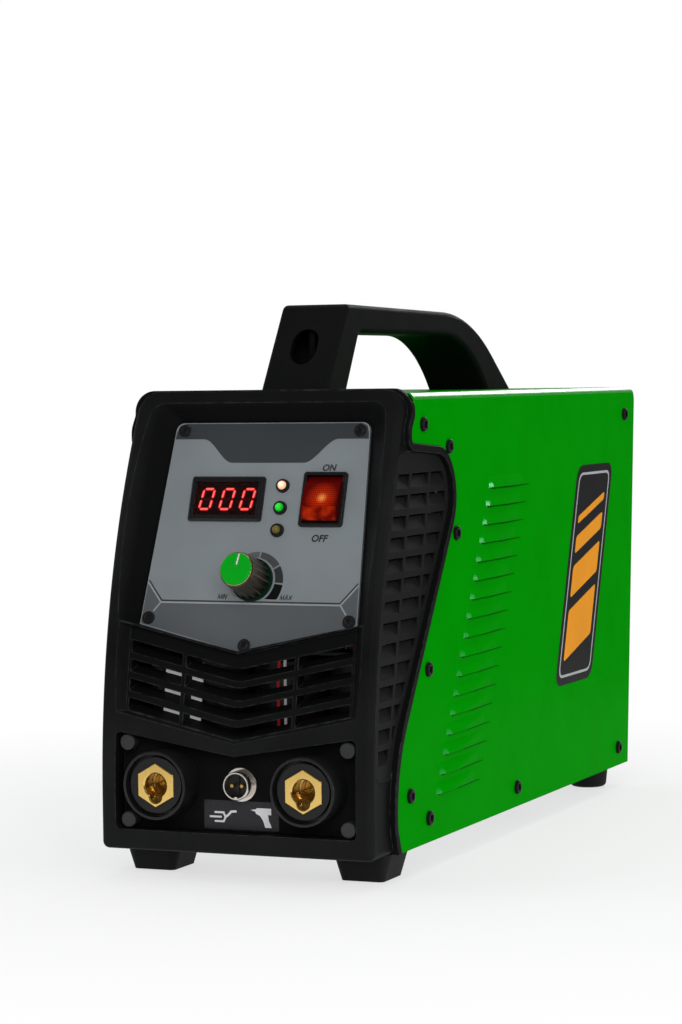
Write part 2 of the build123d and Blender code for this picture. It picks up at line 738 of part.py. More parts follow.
# Side grilles, wedge-shaped cells between slanted ribs
with BuildSketch(Plane.YZ) as cell_columns:
    add(insert_region(-CELL_BORDER))
    lean = tan(radians(RIB_LEAN))
    middle = CELL_TOP_Z - CELL_HEIGHT / 2
    for step in range(-3, 4):
        low = back(RIB_DEPTH + step * RIB_PITCH + (BASE_Z - middle) * lean)
        high = back(RIB_DEPTH + step * RIB_PITCH + (BEZEL_TOP_Z - middle) * lean)
        with BuildLine():
            Polyline(
                (low - RIB_WIDTH / 2, BASE_Z), (low + RIB_WIDTH / 2, BASE_Z),
                (high + RIB_WIDTH / 2, BEZEL_TOP_Z), (high - RIB_WIDTH / 2, BEZEL_TOP_Z), close=True,
            )
        make_face(mode=Mode.SUBTRACT)

with BuildPart() as cells:
    with BuildSketch(Plane.XZ):
        for row in range(CELL_ROWS):
            top = CELL_TOP_Z - row * CELL_PITCH
            with BuildLine():
                Polyline(
                    (FRONT_HALF, top - CELL_HEIGHT), (FRONT_HALF + WALL, top - CELL_HEIGHT),
                    (FRONT_HALF + WALL, top), (FRONT_HALF - CELL_DEPTH, top), close=True,
                )
            make_face()
    extrude(amount=FAR, both=True)
    extrude(cell_columns.sketch, amount=FAR, both=True, mode=Mode.INTERSECT)

with BuildPart() as side_grille_right:
    extrude(on_side(insert_region(), WALL_IN), amount=WALL)
    add(cells.part, mode=Mode.SUBTRACT)
place(side_grille_right.part, "side_grille_right")

with BuildPart() as side_grille_left:
    add(mirror(side_grille_right.part, about=Plane.YZ, mode=Mode.PRIVATE))
place(side_grille_left.part, "side_grille_left")


# Cover, one sheet bent over both sides
def rear_edge(height):
    """Depth of the cover's rear edge at a height."""
    return CASE_DEPTH - (COVER_TOP_Z - height) * tan(radians(REAR_LEAN))


with BuildSketch(Plane.YZ) as cover_side:
    with BuildLine():
        FilletPolyline(
            (back(-MARGIN), BASE_Z), (back(rear_edge(BASE_Z)), BASE_Z),
            (back(rear_edge(COVER_TOP_Z)), COVER_TOP_Z), (back(-MARGIN), COVER_TOP_Z),
            radius=[0.0, 0.0, REAR_CORNER, 0.0], close=True,
        )
    make_face()
    add(ahead_of_lip(FIT), mode=Mode.SUBTRACT)


def louvre_end(x, start, end, low, high):
    """Rectangle of a louvre on the plane at x."""
    with BuildSketch(Plane.YZ.offset(x)) as outline:
        with Locations(((start + end) / 2, (low + high) / 2)):
            Rectangle(end - start, high - low)
    return outline.sketch


with BuildPart() as louvre_shell:
    loft(
        [
            louvre_end(COVER_HALF - SHEET / 2, 0, LOUVRE_LENGTH, 0, LOUVRE_HEIGHT),
            louvre_end(
                COVER_HALF + LOUVRE_PROUD, LOUVRE_HIP, LOUVRE_HIP + LOUVRE_RUN, 0, LOUVRE_CREST
            ),
        ],
        ruled=True,
    )
    crest = louvre_shell.faces().sort_by(Axis.X)[-1]
    fillet(crest.edges().filter_by(lambda e: e.center().Z > FIT), LOUVRE_ROUND)

with BuildPart() as louvre_hollow:
    loft(
        [
            louvre_end(
                COVER_HALF - 2 * SHEET, SHEET, LOUVRE_LENGTH - SHEET,
                -LOUVRE_SLIT, LOUVRE_HEIGHT - SHEET,
            ),
            louvre_end(
                COVER_HALF + LOUVRE_PROUD - SHEET, LOUVRE_HIP + SHEET,
                LOUVRE_HIP + LOUVRE_RUN - SHEET, -LOUVRE_SLIT, LOUVRE_CREST - SHEET / 2,
            ),
        ],
        ruled=True,
    )

louvre_places = [
    (0, back(LOUVRE_DEPTH - row * LOUVRE_SHIFT), LOUVRE_Z - row * LOUVRE_PITCH)
    for row in range(LOUVRE_ROWS)
]
HANDLE_SCREWS = [
    (side * HANDLE_SCREW_X, back(depth)) for side in (-1, 1) for depth in HANDLE_SCREW_DEPTHS
]
with BuildPart() as cover:
    extrude(section(COVER_WIDTH, COVER_TOP_Z, BASE_Z, BEND), amount=FAR, both=True)
    extrude(
        section(COVER_WIDTH - 2 * SHEET, COVER_TOP_Z - SHEET, BASE_Z - MARGIN, BEND - SHEET),
        amount=FAR, both=True, mode=Mode.SUBTRACT,
    )
    extrude(cover_side.sketch, amount=FAR, both=True, mode=Mode.INTERSECT)
    split(bisect_by=Plane.YZ, keep=Keep.TOP)
    with Locations(*louvre_places):
        add(louvre_shell.part)
    with Locations(*louvre_places):
        add(louvre_hollow.part, mode=Mode.SUBTRACT)
    mirror(about=Plane.YZ)
    extrude(screw_points(COVER_SCREWS, SCREW_SHANK + SCREW_PLAY), amount=FAR, both=True, mode=Mode.SUBTRACT)
    with BuildSketch(Plane.XY.offset(COVER_TOP_Z)) as handle_holes:
        with Locations(*HANDLE_SCREWS):
            Circle(SCREW_SHANK + SCREW_PLAY)
    extrude(handle_holes.sketch, amount=-2 * SHEET, mode=Mode.SUBTRACT)
place(cover.part, "cover")

with BuildPart() as cover_screws:
    with BuildSketch(Plane.YZ.offset(COVER_HALF)) as cover_screw_points:
        with Locations(*[(back(d), z) for d, z in COVER_SCREWS]):
            Circle(SCREW_HEAD)
    extrude(amount=SCREW_RISE)
    fillet(cover_screws.faces().filter_by(Axis.X).group_by(Axis.X)[-1].edges(), SCREW_EDGE)
    extrude(screw_points(COVER_SCREWS, SCREW_SHANK), amount=COVER_HALF)
    extrude(screw_points(COVER_SCREWS, SCREW_HEAD), amount=COVER_HALF - SCREW_LENGTH, mode=Mode.SUBTRACT)
    mirror(about=Plane.YZ)
place(cover_screws.part, "cover_screws")


# Control plate and what it carries
def on_plate(at, off=0.0):
    """Plane parallel to the plate over a point of it."""
    return Plane(
        origin=plate_plane.from_local_coords((at[0], at[1], off)),
        x_dir=plate_plane.x_dir,
        z_dir=plate_plane.z_dir,
    )


plate_out = Axis((0, 0, 0), plate_plane.z_dir)
METER_BACK = (METER_SIZE[0] - 2 * METER_LAP, METER_SIZE[1] - 2 * METER_LAP)
METER_VIEW = (METER_SIZE[0] - 2 * METER_FRAME, METER_SIZE[1] - 2 * METER_FRAME)
SWITCH_BACK = (SWITCH_WINDOW[0] + 2 * SWITCH_WALL, SWITCH_WINDOW[1] + 2 * SWITCH_WALL)
LAMPS = [(LAMP_U, v) for v in LAMP_ROWS]
with BuildPart() as control_plate:
    with BuildSketch(plate_plane) as plate_face:
        add(plate_outline(Plane.XY))
        with Locations(METER_AT):
            Rectangle(METER_BACK[0] + 2 * SCREW_PLAY, METER_BACK[1] + 2 * SCREW_PLAY, mode=Mode.SUBTRACT)
        with Locations(SWITCH_AT):
            Rectangle(SWITCH_BACK[0] + 2 * SCREW_PLAY, SWITCH_BACK[1] + 2 * SCREW_PLAY, mode=Mode.SUBTRACT)
        with Locations(*LAMPS):
            Circle(LAMP_TUBE + SCREW_PLAY, mode=Mode.SUBTRACT)
        with Locations(KNOB_AT):
            Circle(BUSHING + SCREW_PLAY, mode=Mode.SUBTRACT)
    extrude(amount=-PLATE_SHEET)
    with Locations(*[on_plate(at) for at in PLATE_SCREWS]):
        CounterSinkHole(PLATE_SCREW_SHANK + SCREW_PLAY, PLATE_SCREW_HEAD + SCREW_PLAY, 2 * PLATE_SHEET)
place(control_plate.part, "control_plate")

SINK_ANGLE = radians(41.0)
with BuildPart() as plate_screws:
    with Locations(*[on_plate(at) for at in PLATE_SCREWS]):
        Cone(
            PLATE_SCREW_SHANK, PLATE_SCREW_HEAD, (PLATE_SCREW_HEAD - PLATE_SCREW_SHANK) / tan(SINK_ANGLE),
            align=(Align.CENTER, Align.CENTER, Align.MAX),
        )
        Cylinder(
            PLATE_SCREW_SHANK, PLATE_SCREW_LENGTH, align=(Align.CENTER, Align.CENTER, Align.MAX)
        )
place(plate_screws.part, "plate_screws")

with BuildPart() as meter_housing:
    with BuildSketch(on_plate(METER_AT)):
        RectangleRounded(*METER_SIZE, METER_CORNER)
    extrude(amount=METER_PROUD)
    chamfer(meter_housing.faces().sort_by(plate_out)[-1].edges(), METER_BEVEL)
    with BuildSketch(on_plate(METER_AT)):
        Rectangle(*METER_BACK)
    extrude(amount=-METER_BODY)
    with BuildSketch(on_plate(METER_AT, METER_PROUD)):
        Rectangle(*METER_VIEW)
    extrude(amount=-METER_SINK - METER_PANE, mode=Mode.SUBTRACT)
    with BuildSketch(on_plate(METER_AT, METER_PROUD)):
        Rectangle(METER_VIEW[0] - METER_PANE, METER_VIEW[1] - METER_PANE)
    extrude(amount=-METER_BODY, mode=Mode.SUBTRACT)
place(meter_housing.part, "meter_housing")

with BuildPart() as meter_window:
    with BuildSketch(on_plate(METER_AT, METER_PROUD - METER_SINK)):
        Rectangle(METER_VIEW[0] - SCREW_PLAY, METER_VIEW[1] - SCREW_PLAY)
    extrude(amount=-METER_PANE)
place(meter_window.part, "meter_window")

with BuildPart() as lamp_holders:
    for lamp_at in LAMPS:
        with BuildSketch(on_plate(lamp_at)):
            Circle(LAMP_RING)
        extrude(amount=LAMP_RING_PROUD, taper=LAMP_TAPER)
        with BuildSketch(on_plate(lamp_at)):
            Circle(LAMP_TUBE)
        extrude(amount=-LAMP_LENGTH)
        with BuildSketch(on_plate(lamp_at, LAMP_RING_PROUD)):
            Circle(LAMP_RADIUS + SCREW_PLAY)
        extrude(amount=-2 * LAMP_LENGTH, mode=Mode.SUBTRACT)
place(lamp_holders.part, "lamp_holders")


def lamp(at):
    """Round lamp with a domed end, standing in its ring."""
    with BuildPart() as bulb:
        with BuildSketch(on_plate(at, LAMP_RING_PROUD + LAMP_PROUD)):
            Circle(LAMP_RADIUS)
        extrude(amount=-LAMP_LENGTH)
        fillet(bulb.faces().sort_by(plate_out)[-1].edges(), LAMP_DOME)
    return bulb.part


with BuildPart() as lamp_amber:
    add(lamp(LAMPS[0]))
place(lamp_amber.part, "lamp_amber")

with BuildPart() as lamp_green:
    add(lamp(LAMPS[1]))
place(lamp_green.part, "lamp_green")

with BuildPart() as lamp_yellow:
    add(lamp(LAMPS[2]))
place(lamp_yellow.part, "lamp_yellow")

rocker_plane = Plane(
    origin=plate_plane.from_local_coords((SWITCH_AT[0], SWITCH_AT[1], ROCKER_PIVOT)),
    x_dir=plate_plane.y_dir,
    z_dir=plate_plane.x_dir,
)
tilted_plane = Plane(
    origin=rocker_plane.origin,
    x_dir=rocker_plane.x_dir * cos(radians(ROCKER_TILT)) - rocker_plane.y_dir * sin(radians(ROCKER_TILT)),
    z_dir=rocker_plane.z_dir,
)
with BuildPart() as switch_body:
    with BuildSketch(on_plate(SWITCH_AT)):
        RectangleRounded(*SWITCH_SIZE, SWITCH_CORNER)
    extrude(amount=SWITCH_PROUD)
    fillet(switch_body.faces().sort_by(plate_out)[-1].edges(), SWITCH_EDGE)
    with BuildSketch(on_plate(SWITCH_AT)):
        Rectangle(*SWITCH_BACK)
    extrude(amount=-SWITCH_BODY)
    with BuildSketch(on_plate(SWITCH_AT, SWITCH_PROUD)):
        Rectangle(*SWITCH_WINDOW)
    extrude(amount=-SWITCH_BODY, mode=Mode.SUBTRACT)
    with BuildSketch(on_plate(SWITCH_AT, -SWITCH_BODY)):
        with GridLocations(SWITCH_TAB_PITCH, 2 * SWITCH_TAB_PITCH, 2, 2):
            Rectangle(*SWITCH_TAB)
    extrude(amount=-SWITCH_TAB_LENGTH)
    with BuildSketch(rocker_plane):
        Circle(ROCKER_PIN + FIT)
    extrude(amount=SWITCH_SIZE[0], both=True, mode=Mode.SUBTRACT)
place(switch_body.part, "switch_body")

with BuildPart() as switch_rocker:
    with BuildSketch(tilted_plane) as rocker_profile:
        with BuildLine():
            Polyline(
                (-ROCKER_END, ROCKER_SKIRT), (-ROCKER_END, ROCKER_SHOULDER),
                (-ROCKER_RIDGE, ROCKER_CREST), (0, ROCKER_VALLEY), (ROCKER_RIDGE, ROCKER_CREST),
                (ROCKER_END, ROCKER_SHOULDER), (ROCKER_END, ROCKER_SKIRT),
                (ROCKER_RIDGE, -ROCKER_FOOT), (-ROCKER_RIDGE, -ROCKER_FOOT), close=True,
            )
        make_face()
        fillet(rocker_profile.vertices(), ROCKER_EDGE)
    extrude(amount=SWITCH_WINDOW[0] / 2 - ROCKER_PLAY, both=True)
    with BuildSketch(rocker_plane):
        Circle(ROCKER_PIN)
    extrude(amount=SWITCH_WINDOW[0] / 2 + ROCKER_PLAY, both=True)
place(switch_rocker.part, "switch_rocker")

with BuildPart() as potentiometer:
    with BuildSketch(on_plate(KNOB_AT, -PLATE_SHEET)):
        Circle(POT_BODY)
    extrude(amount=-POT_DEPTH)
    with BuildSketch(on_plate(KNOB_AT, BUSHING_TOP)):
        Circle(BUSHING)
    extrude(amount=-BUSHING_TOP - PLATE_SHEET)
    with BuildSketch(on_plate(KNOB_AT, BUSHING_TOP)):
        Circle(SHAFT + SHAFT_PLAY)
    extrude(amount=-BUSHING_TOP - 2 * PLATE_SHEET, mode=Mode.SUBTRACT)
    with BuildSketch(on_plate((KNOB_AT[0], KNOB_AT[1] - POT_BODY), -PLATE_SHEET - POT_DEPTH)):
        with GridLocations(POT_TAG_PITCH, 1, 3, 1):
            Rectangle(*POT_TAG)
    extrude(amount=POT_TAG_SHEET)
place(potentiometer.part, "potentiometer")

with BuildPart() as pot_nut:
    with BuildSketch(on_plate(KNOB_AT)):
        RegularPolygon(POT_NUT[0] / 2, 6, major_radius=False)
        Circle(BUSHING, mode=Mode.SUBTRACT)
    extrude(amount=POT_NUT[1])
place(pot_nut.part, "pot_nut")

KNOB_NECK = KNOB_TOP - KNOB_LID
with BuildPart() as pot_shaft:
    with BuildSketch(on_plate(KNOB_AT, KNOB_NECK - KNOB_LID)):
        Circle(SHAFT)
    extrude(amount=KNOB_LID - KNOB_NECK - SHAFT_TAIL)
place(pot_shaft.part, "pot_shaft")

with BuildPart() as knob_core:
    with BuildSketch(on_plate(KNOB_AT, KNOB_FOOT)):
        Circle(KNOB_FLANGE)
    extrude(amount=KNOB_FLANGE_SHEET)
    with BuildSketch(on_plate(KNOB_AT, KNOB_FOOT)):
        Circle(KNOB_BODY)
    extrude(amount=KNOB_NECK - KNOB_FOOT)
    with BuildSketch(on_plate(KNOB_AT, KNOB_NECK)):
        Circle(KNOB_CAP)
    extrude(amount=KNOB_LID)
    fillet(knob_core.faces().sort_by(plate_out)[-1].edges(), KNOB_EDGE)
    with BuildSketch(on_plate(KNOB_AT, KNOB_TOP)):
        with PolarLocations(KNOB_CAP, 1, start_angle=90 - KNOB_TURN):
            Rectangle(2 * KNOB_LINE_LENGTH, KNOB_LINE)
    extrude(amount=-KNOB_LINE_DEPTH, mode=Mode.SUBTRACT)
    with BuildSketch(on_plate(KNOB_AT)):
        Circle(KNOB_RECESS)
    extrude(amount=POT_NUT[1] + FIT, mode=Mode.SUBTRACT)
    with BuildSketch(on_plate(KNOB_AT)):
        Circle(BUSHING + 2 * FIT)
    extrude(amount=BUSHING_TOP + 2 * FIT, mode=Mode.SUBTRACT)
    with BuildSketch(on_plate(KNOB_AT)):
        Circle(SHAFT)
    extrude(amount=KNOB_NECK - KNOB_LID, mode=Mode.SUBTRACT)
place(knob_core.part, "knob_core")

SLEEVE_FOOT = KNOB_FOOT + KNOB_FLANGE_SHEET
SLEEVE_HEIGHT = KNOB_NECK - SLEEVE_FOOT
with BuildPart() as knob_sleeve:
    with BuildSketch(on_plate(KNOB_AT, SLEEVE_FOOT)):
        Circle(KNOB_SLEEVE)
    extrude(amount=SLEEVE_HEIGHT, taper=degrees(atan((KNOB_SLEEVE - KNOB_SLEEVE_TOP) / SLEEVE_HEIGHT)))
    with BuildSketch(on_plate(KNOB_AT, SLEEVE_FOOT)):
        Circle(KNOB_BODY)
        with PolarLocations(KNOB_SLEEVE, KNOB_FLUTES):
            Circle(KNOB_FLUTE)
    extrude(amount=SLEEVE_HEIGHT, mode=Mode.SUBTRACT)
place(knob_sleeve.part, "knob_sleeve")

# Socket panel, weld sockets and gun connector
SOCKET_HEIGHT = PANEL_DEPTH + SOCKET_PROUD
with BuildPart() as socket_panel:
    with BuildSketch(panel_plane):
        add(recess_outline(Plane.XY, -FIT / 2))
        with Locations((-SOCKET_X, SOCKET_Z), (SOCKET_X, SOCKET_Z)):
            Circle(SOCKET_BARREL + SCREW_PLAY, mode=Mode.SUBTRACT)
        with Locations((0, CONNECTOR_Z)):
            Circle(CONNECTOR_SHELL + SCREW_PLAY, mode=Mode.SUBTRACT)
        with Locations(*CAPS):
            Circle(CAP_SHANK + SCREW_PLAY, mode=Mode.SUBTRACT)
    extrude(amount=-PANEL_SHEET)
place(socket_panel.part, "socket_panel")

with BuildPart() as panel_caps:
    with BuildSketch(panel_plane):
        with Locations(*CAPS):
            Circle(CAP)
    extrude(amount=CAP_HEIGHT)
    fillet(panel_caps.faces().filter_by(Axis.Y).group_by(Axis.Y)[0].edges(), CAP_EDGE)
    with BuildSketch(panel_plane):
        with Locations(*CAPS):
            Circle(CAP_SHANK)
    extrude(amount=-PANEL_SHEET - 2 * WALL)
place(panel_caps.part, "panel_caps")


def at_panel(x, z, off=0.0):
    """Plane facing the viewer over a point of the socket panel."""
    return Plane(origin=(x, back(PANEL_DEPTH) - off, z), x_dir=(1, 0, 0), z_dir=(0, -1, 0))


HEX_BACK = PANEL_SHEET + SOCKET_BARREL_LENGTH - SOCKET_FLOOR
HEX_FRONT = SOCKET_HEIGHT - SOCKET_SINK + HEX_PROUD
with BuildPart() as socket_body_right:
    with BuildSketch(at_panel(SOCKET_X, SOCKET_Z)):
        Circle(SOCKET_RING)
    extrude(amount=SOCKET_HEIGHT)
    fillet(socket_body_right.faces().sort_by(Axis.Y)[0].edges(), SOCKET_EDGE)
    with BuildSketch(at_panel(SOCKET_X, SOCKET_Z)):
        Circle(SOCKET_BARREL)
    extrude(amount=-PANEL_SHEET - SOCKET_BARREL_LENGTH)
    with BuildSketch(at_panel(SOCKET_X, SOCKET_Z, SOCKET_HEIGHT)):
        Circle(SOCKET_RING - SOCKET_RIM)
    extrude(amount=-SOCKET_SINK, mode=Mode.SUBTRACT)
    with BuildSketch(at_panel(SOCKET_X, SOCKET_Z, SOCKET_HEIGHT)):
        Circle(SOCKET_RING - SOCKET_RIM)
        Circle(SOCKET_LAND, mode=Mode.SUBTRACT)
    extrude(amount=-SOCKET_SINK - SOCKET_GROOVE, mode=Mode.SUBTRACT)
    with BuildSketch(at_panel(SOCKET_X, SOCKET_Z, SOCKET_HEIGHT)):
        RegularPolygon(HEX_FLATS / 2 + SCREW_PLAY / 2, 6, major_radius=False, rotation=30)
    extrude(amount=-SOCKET_HEIGHT - HEX_BACK, mode=Mode.SUBTRACT)
    with BuildSketch(at_panel(SOCKET_X, SOCKET_Z)):
        Circle(STUD + SCREW_PLAY)
    extrude(amount=-2 * HEX_BACK, mode=Mode.SUBTRACT)
place(socket_body_right.part, "socket_body_right")

with BuildPart() as socket_body_left:
    add(mirror(socket_body_right.part, about=Plane.YZ, mode=Mode.PRIVATE))
place(socket_body_left.part, "socket_body_left")

with BuildPart() as socket_contact_right:
    with BuildSketch(at_panel(SOCKET_X, SOCKET_Z, HEX_FRONT)):
        RegularPolygon(HEX_FLATS / 2, 6, major_radius=False, rotation=30)
    extrude(amount=-HEX_FRONT - HEX_BACK)
    with BuildSketch(at_panel(SOCKET_X, SOCKET_Z, -HEX_BACK)):
        Circle(STUD)
    extrude(amount=-STUD_LENGTH)
    with BuildSketch(at_panel(SOCKET_X, SOCKET_Z, HEX_FRONT)):
        Circle(BORE)
        with Locations((0, -BORE / 2)):
            SlotOverall(BORE + 2 * KEY_DEPTH, KEY_WIDTH, rotation=90)
    extrude(amount=-BORE_DEPTH, mode=Mode.SUBTRACT)
place(socket_contact_right.part, "socket_contact_right")

with BuildPart() as socket_contact_left:
    add(mirror(socket_contact_right.part, about=Plane.YZ, mode=Mode.PRIVATE))
place(socket_contact_left.part, "socket_contact_left")

with BuildPart() as socket_nuts:
    with BuildSketch(at_panel(SOCKET_X, SOCKET_Z, -PANEL_SHEET)):
        Circle(RING_NUT[0])
        Circle(SOCKET_BARREL, mode=Mode.SUBTRACT)
        with PolarLocations(RING_NUT[0], RING_NUT_NOTCHES):
            Rectangle(RING_NUT_NOTCH, 2 * RING_NUT_NOTCH, mode=Mode.SUBTRACT)
    extrude(amount=-RING_NUT[1])
    mirror(about=Plane.YZ)
place(socket_nuts.part, "socket_nuts")

with BuildPart() as connector_shell:
    with BuildSketch(at_panel(0, CONNECTOR_Z)):
        Circle(CONNECTOR_FLANGE)
    extrude(amount=CONNECTOR_FLANGE_SHEET)
    with BuildSketch(at_panel(0, CONNECTOR_Z, CONNECTOR_PROUD)):
        Circle(CONNECTOR_SHELL)
    extrude(amount=-CONNECTOR_PROUD - PANEL_SHEET - CONNECTOR_TAIL)
    chamfer(connector_shell.faces().sort_by(Axis.Y)[0].edges(), CONNECTOR_EDGE)
    with BuildSketch(at_panel(0, CONNECTOR_Z, CONNECTOR_PROUD)):
        Circle(CONNECTOR_BORE)
        with Locations((0, -CONNECTOR_BORE)):
            Rectangle(CONNECTOR_KEY, CONNECTOR_KEY, mode=Mode.SUBTRACT)
    extrude(amount=-2 * FAR, mode=Mode.SUBTRACT)
place(connector_shell.part, "connector_shell")

with BuildPart() as connector_insert:
    with BuildSketch(at_panel(0, CONNECTOR_Z, CONNECTOR_FACE)):
        Circle(CONNECTOR_BORE)
        with Locations((0, -CONNECTOR_BORE)):
            Rectangle(CONNECTOR_KEY, CONNECTOR_KEY, mode=Mode.SUBTRACT)
        with Locations((-PIN_X, 0), (PIN_X, 0)):
            Circle(PIN, mode=Mode.SUBTRACT)
    extrude(amount=-CONNECTOR_FACE - PANEL_SHEET - CONNECTOR_TAIL)
    with BuildSketch(at_panel(0, CONNECTOR_Z, CONNECTOR_FACE)):
        Rectangle(PIN, CONNECTOR_SLOT)
    extrude(amount=-PIN, mode=Mode.SUBTRACT)
place(connector_insert.part, "connector_insert")

PIN_BACK = PANEL_SHEET + CONNECTOR_TAIL + PIN_TAIL
with BuildPart() as connector_pins:
    with BuildSketch(at_panel(0, CONNECTOR_Z, CONNECTOR_FACE + PIN_PROUD)):
        with Locations((-PIN_X, 0), (PIN_X, 0)):
            Circle(PIN)
    extrude(amount=-CONNECTOR_FACE - PIN_PROUD - PIN_BACK)
place(connector_pins.part, "connector_pins")

with BuildPart() as connector_nut:
    with BuildSketch(at_panel(0, CONNECTOR_Z, -PANEL_SHEET)):
        RegularPolygon(CONNECTOR_NUT[0] / 2, 6, major_radius=False)
        Circle(CONNECTOR_SHELL, mode=Mode.SUBTRACT)
    extrude(amount=-CONNECTOR_NUT[1])
place(connector_nut.part, "connector_nut")

# Carrying handle, a hollow moulding with solid feet and an upright web behind the strap slot
def over_cover(points):
    """Side-view points from depths and heights over the cover."""
    return [(back(depth), COVER_TOP_Z + rise) for depth, rise in points]


with BuildSketch(Plane.XY) as handle_profile:
    with BuildLine():
        FilletPolyline(
            over_cover(HANDLE_OUTER) + over_cover(HANDLE_INNER)[::-1],
            radius=[0.0, *HANDLE_OUTER_RADII, 0.0, 0.0, *HANDLE_INNER_RADII[::-1], 0.0], close=True,
        )
    make_face()

with BuildSketch(Plane.XY) as handle_hollow:
    add(handle_profile.sketch_local)
    offset(amount=-HANDLE_WALL)
    add(band(COVER_TOP_Z + HANDLE_PAD, COVER_TOP_Z + FAR), mode=Mode.INTERSECT)

with BuildPart() as handle_web:
    with Locations((0, back(HANDLE_OUTER[0][0] + STRAP_REACH), COVER_TOP_Z)):
        Box(HANDLE_WEB, HANDLE_INNER[0][0] - HANDLE_OUTER[0][0], FAR, align=(Align.CENTER, Align.MIN, Align.CENTER))
    extrude(on_side(handle_profile.sketch_local), amount=FAR, both=True, mode=Mode.INTERSECT)

with BuildPart() as handle:
    extrude(on_side(handle_profile.sketch_local), amount=HANDLE_WIDTH / 2, both=True)
    grip_edges = handle.edges().filter_by(
        lambda e: abs(e.center().X) > HANDLE_WIDTH / 2 - FIT and e.center().Z > COVER_TOP_Z + FIT
    )
    fillet(grip_edges, HANDLE_EDGE)
    extrude(
        on_side(handle_hollow.sketch_local), amount=HANDLE_WIDTH / 2 - HANDLE_WALL, both=True,
        mode=Mode.SUBTRACT,
    )
    add(handle_web.part)
    with BuildSketch(Plane.XZ.offset(-back(HANDLE_OUTER[0][0]))):
        with Locations((0, COVER_TOP_Z + STRAP_Z)):
            RectangleRounded(STRAP_WIDTH, STRAP_LENGTH, STRAP_CORNER)
    extrude(amount=-STRAP_REACH, mode=Mode.SUBTRACT)
    extrude(handle_holes.sketch, amount=HANDLE_PAD - FIT, mode=Mode.SUBTRACT)
place(handle.part, "handle")

with BuildPart() as handle_screws:
    with BuildSketch(Plane.XY.offset(COVER_TOP_Z - SHEET)):
        with Locations(*HANDLE_SCREWS):
            Circle(SCREW_HEAD)
    extrude(amount=-SCREW_RISE)
    with BuildSketch(Plane.XY.offset(COVER_TOP_Z - SHEET)):
        with Locations(*HANDLE_SCREWS):
            Circle(SCREW_SHANK)
    extrude(amount=HANDLE_PAD)
place(handle_screws.part, "handle_screws")

# Base tray, rear panel and feet
TRAY_Z = BASE_Z + WALL
TRAY_TOP = TRAY_Z + SHEET
TRAY_END = rear_edge(BASE_Z) - SHEET
FRONT_FEET = [(side * FRONT_FOOT_X, back(FRONT_FOOT_DEPTH)) for side in (-1, 1)]
REAR_FEET = [(side * REAR_FOOT_X, back(REAR_FOOT_DEPTH)) for side in (-1, 1)]
with BuildPart() as base_tray:
    with BuildSketch(Plane.XY.offset(TRAY_Z)):
        with Locations((0, back((TRAY_START + TRAY_END) / 2))):
            Rectangle(2 * SKIN_HALF, TRAY_END - TRAY_START)
        with Locations((0, back((TRAY_FRONT + TRAY_START) / 2))):
            Rectangle(TRAY_TONGUE, TRAY_START - TRAY_FRONT)
        with Locations((0, back(CORE_DEPTH))):
            with GridLocations(1, TRAY_VENT_PITCH, 1, TRAY_VENTS):
                SlotOverall(*TRAY_VENT, mode=Mode.SUBTRACT)
        with Locations(*FRONT_FEET, *REAR_FEET):
            Circle(SCREW_SHANK + SCREW_PLAY, mode=Mode.SUBTRACT)
    extrude(amount=SHEET)
    with BuildSketch(Plane.XY.offset(TRAY_Z)):
        for side in (-1, 1):
            with Locations((side * (SKIN_HALF - SHEET / 2), back((TRAY_START + TRAY_END) / 2))):
                Rectangle(SHEET, TRAY_END - TRAY_START)
    extrude(amount=TRAY_FLANGE)
    extrude(screw_points(TRAY_SCREWS, SCREW_SHANK + SCREW_PLAY), amount=FAR, both=True, mode=Mode.SUBTRACT)
place(base_tray.part, "base_tray")


def rear_region(inset, foot, top):
    """Side view of the space ahead of the rear panel's face, less an inset."""
    with BuildSketch(Plane.XY) as region:
        with BuildLine():
            FilletPolyline(
                (back(rear_edge(foot) - REAR_INSET - REAR_FLANGE), foot),
                (back(rear_edge(foot) - REAR_INSET - inset), foot),
                (back(rear_edge(top) - REAR_INSET - inset), top),
                (back(rear_edge(top) - REAR_INSET - REAR_FLANGE), top),
                radius=[0.0, 0.0, REAR_RADIUS - inset, 0.0], close=True,
            )
        make_face()
    return region.sketch_local


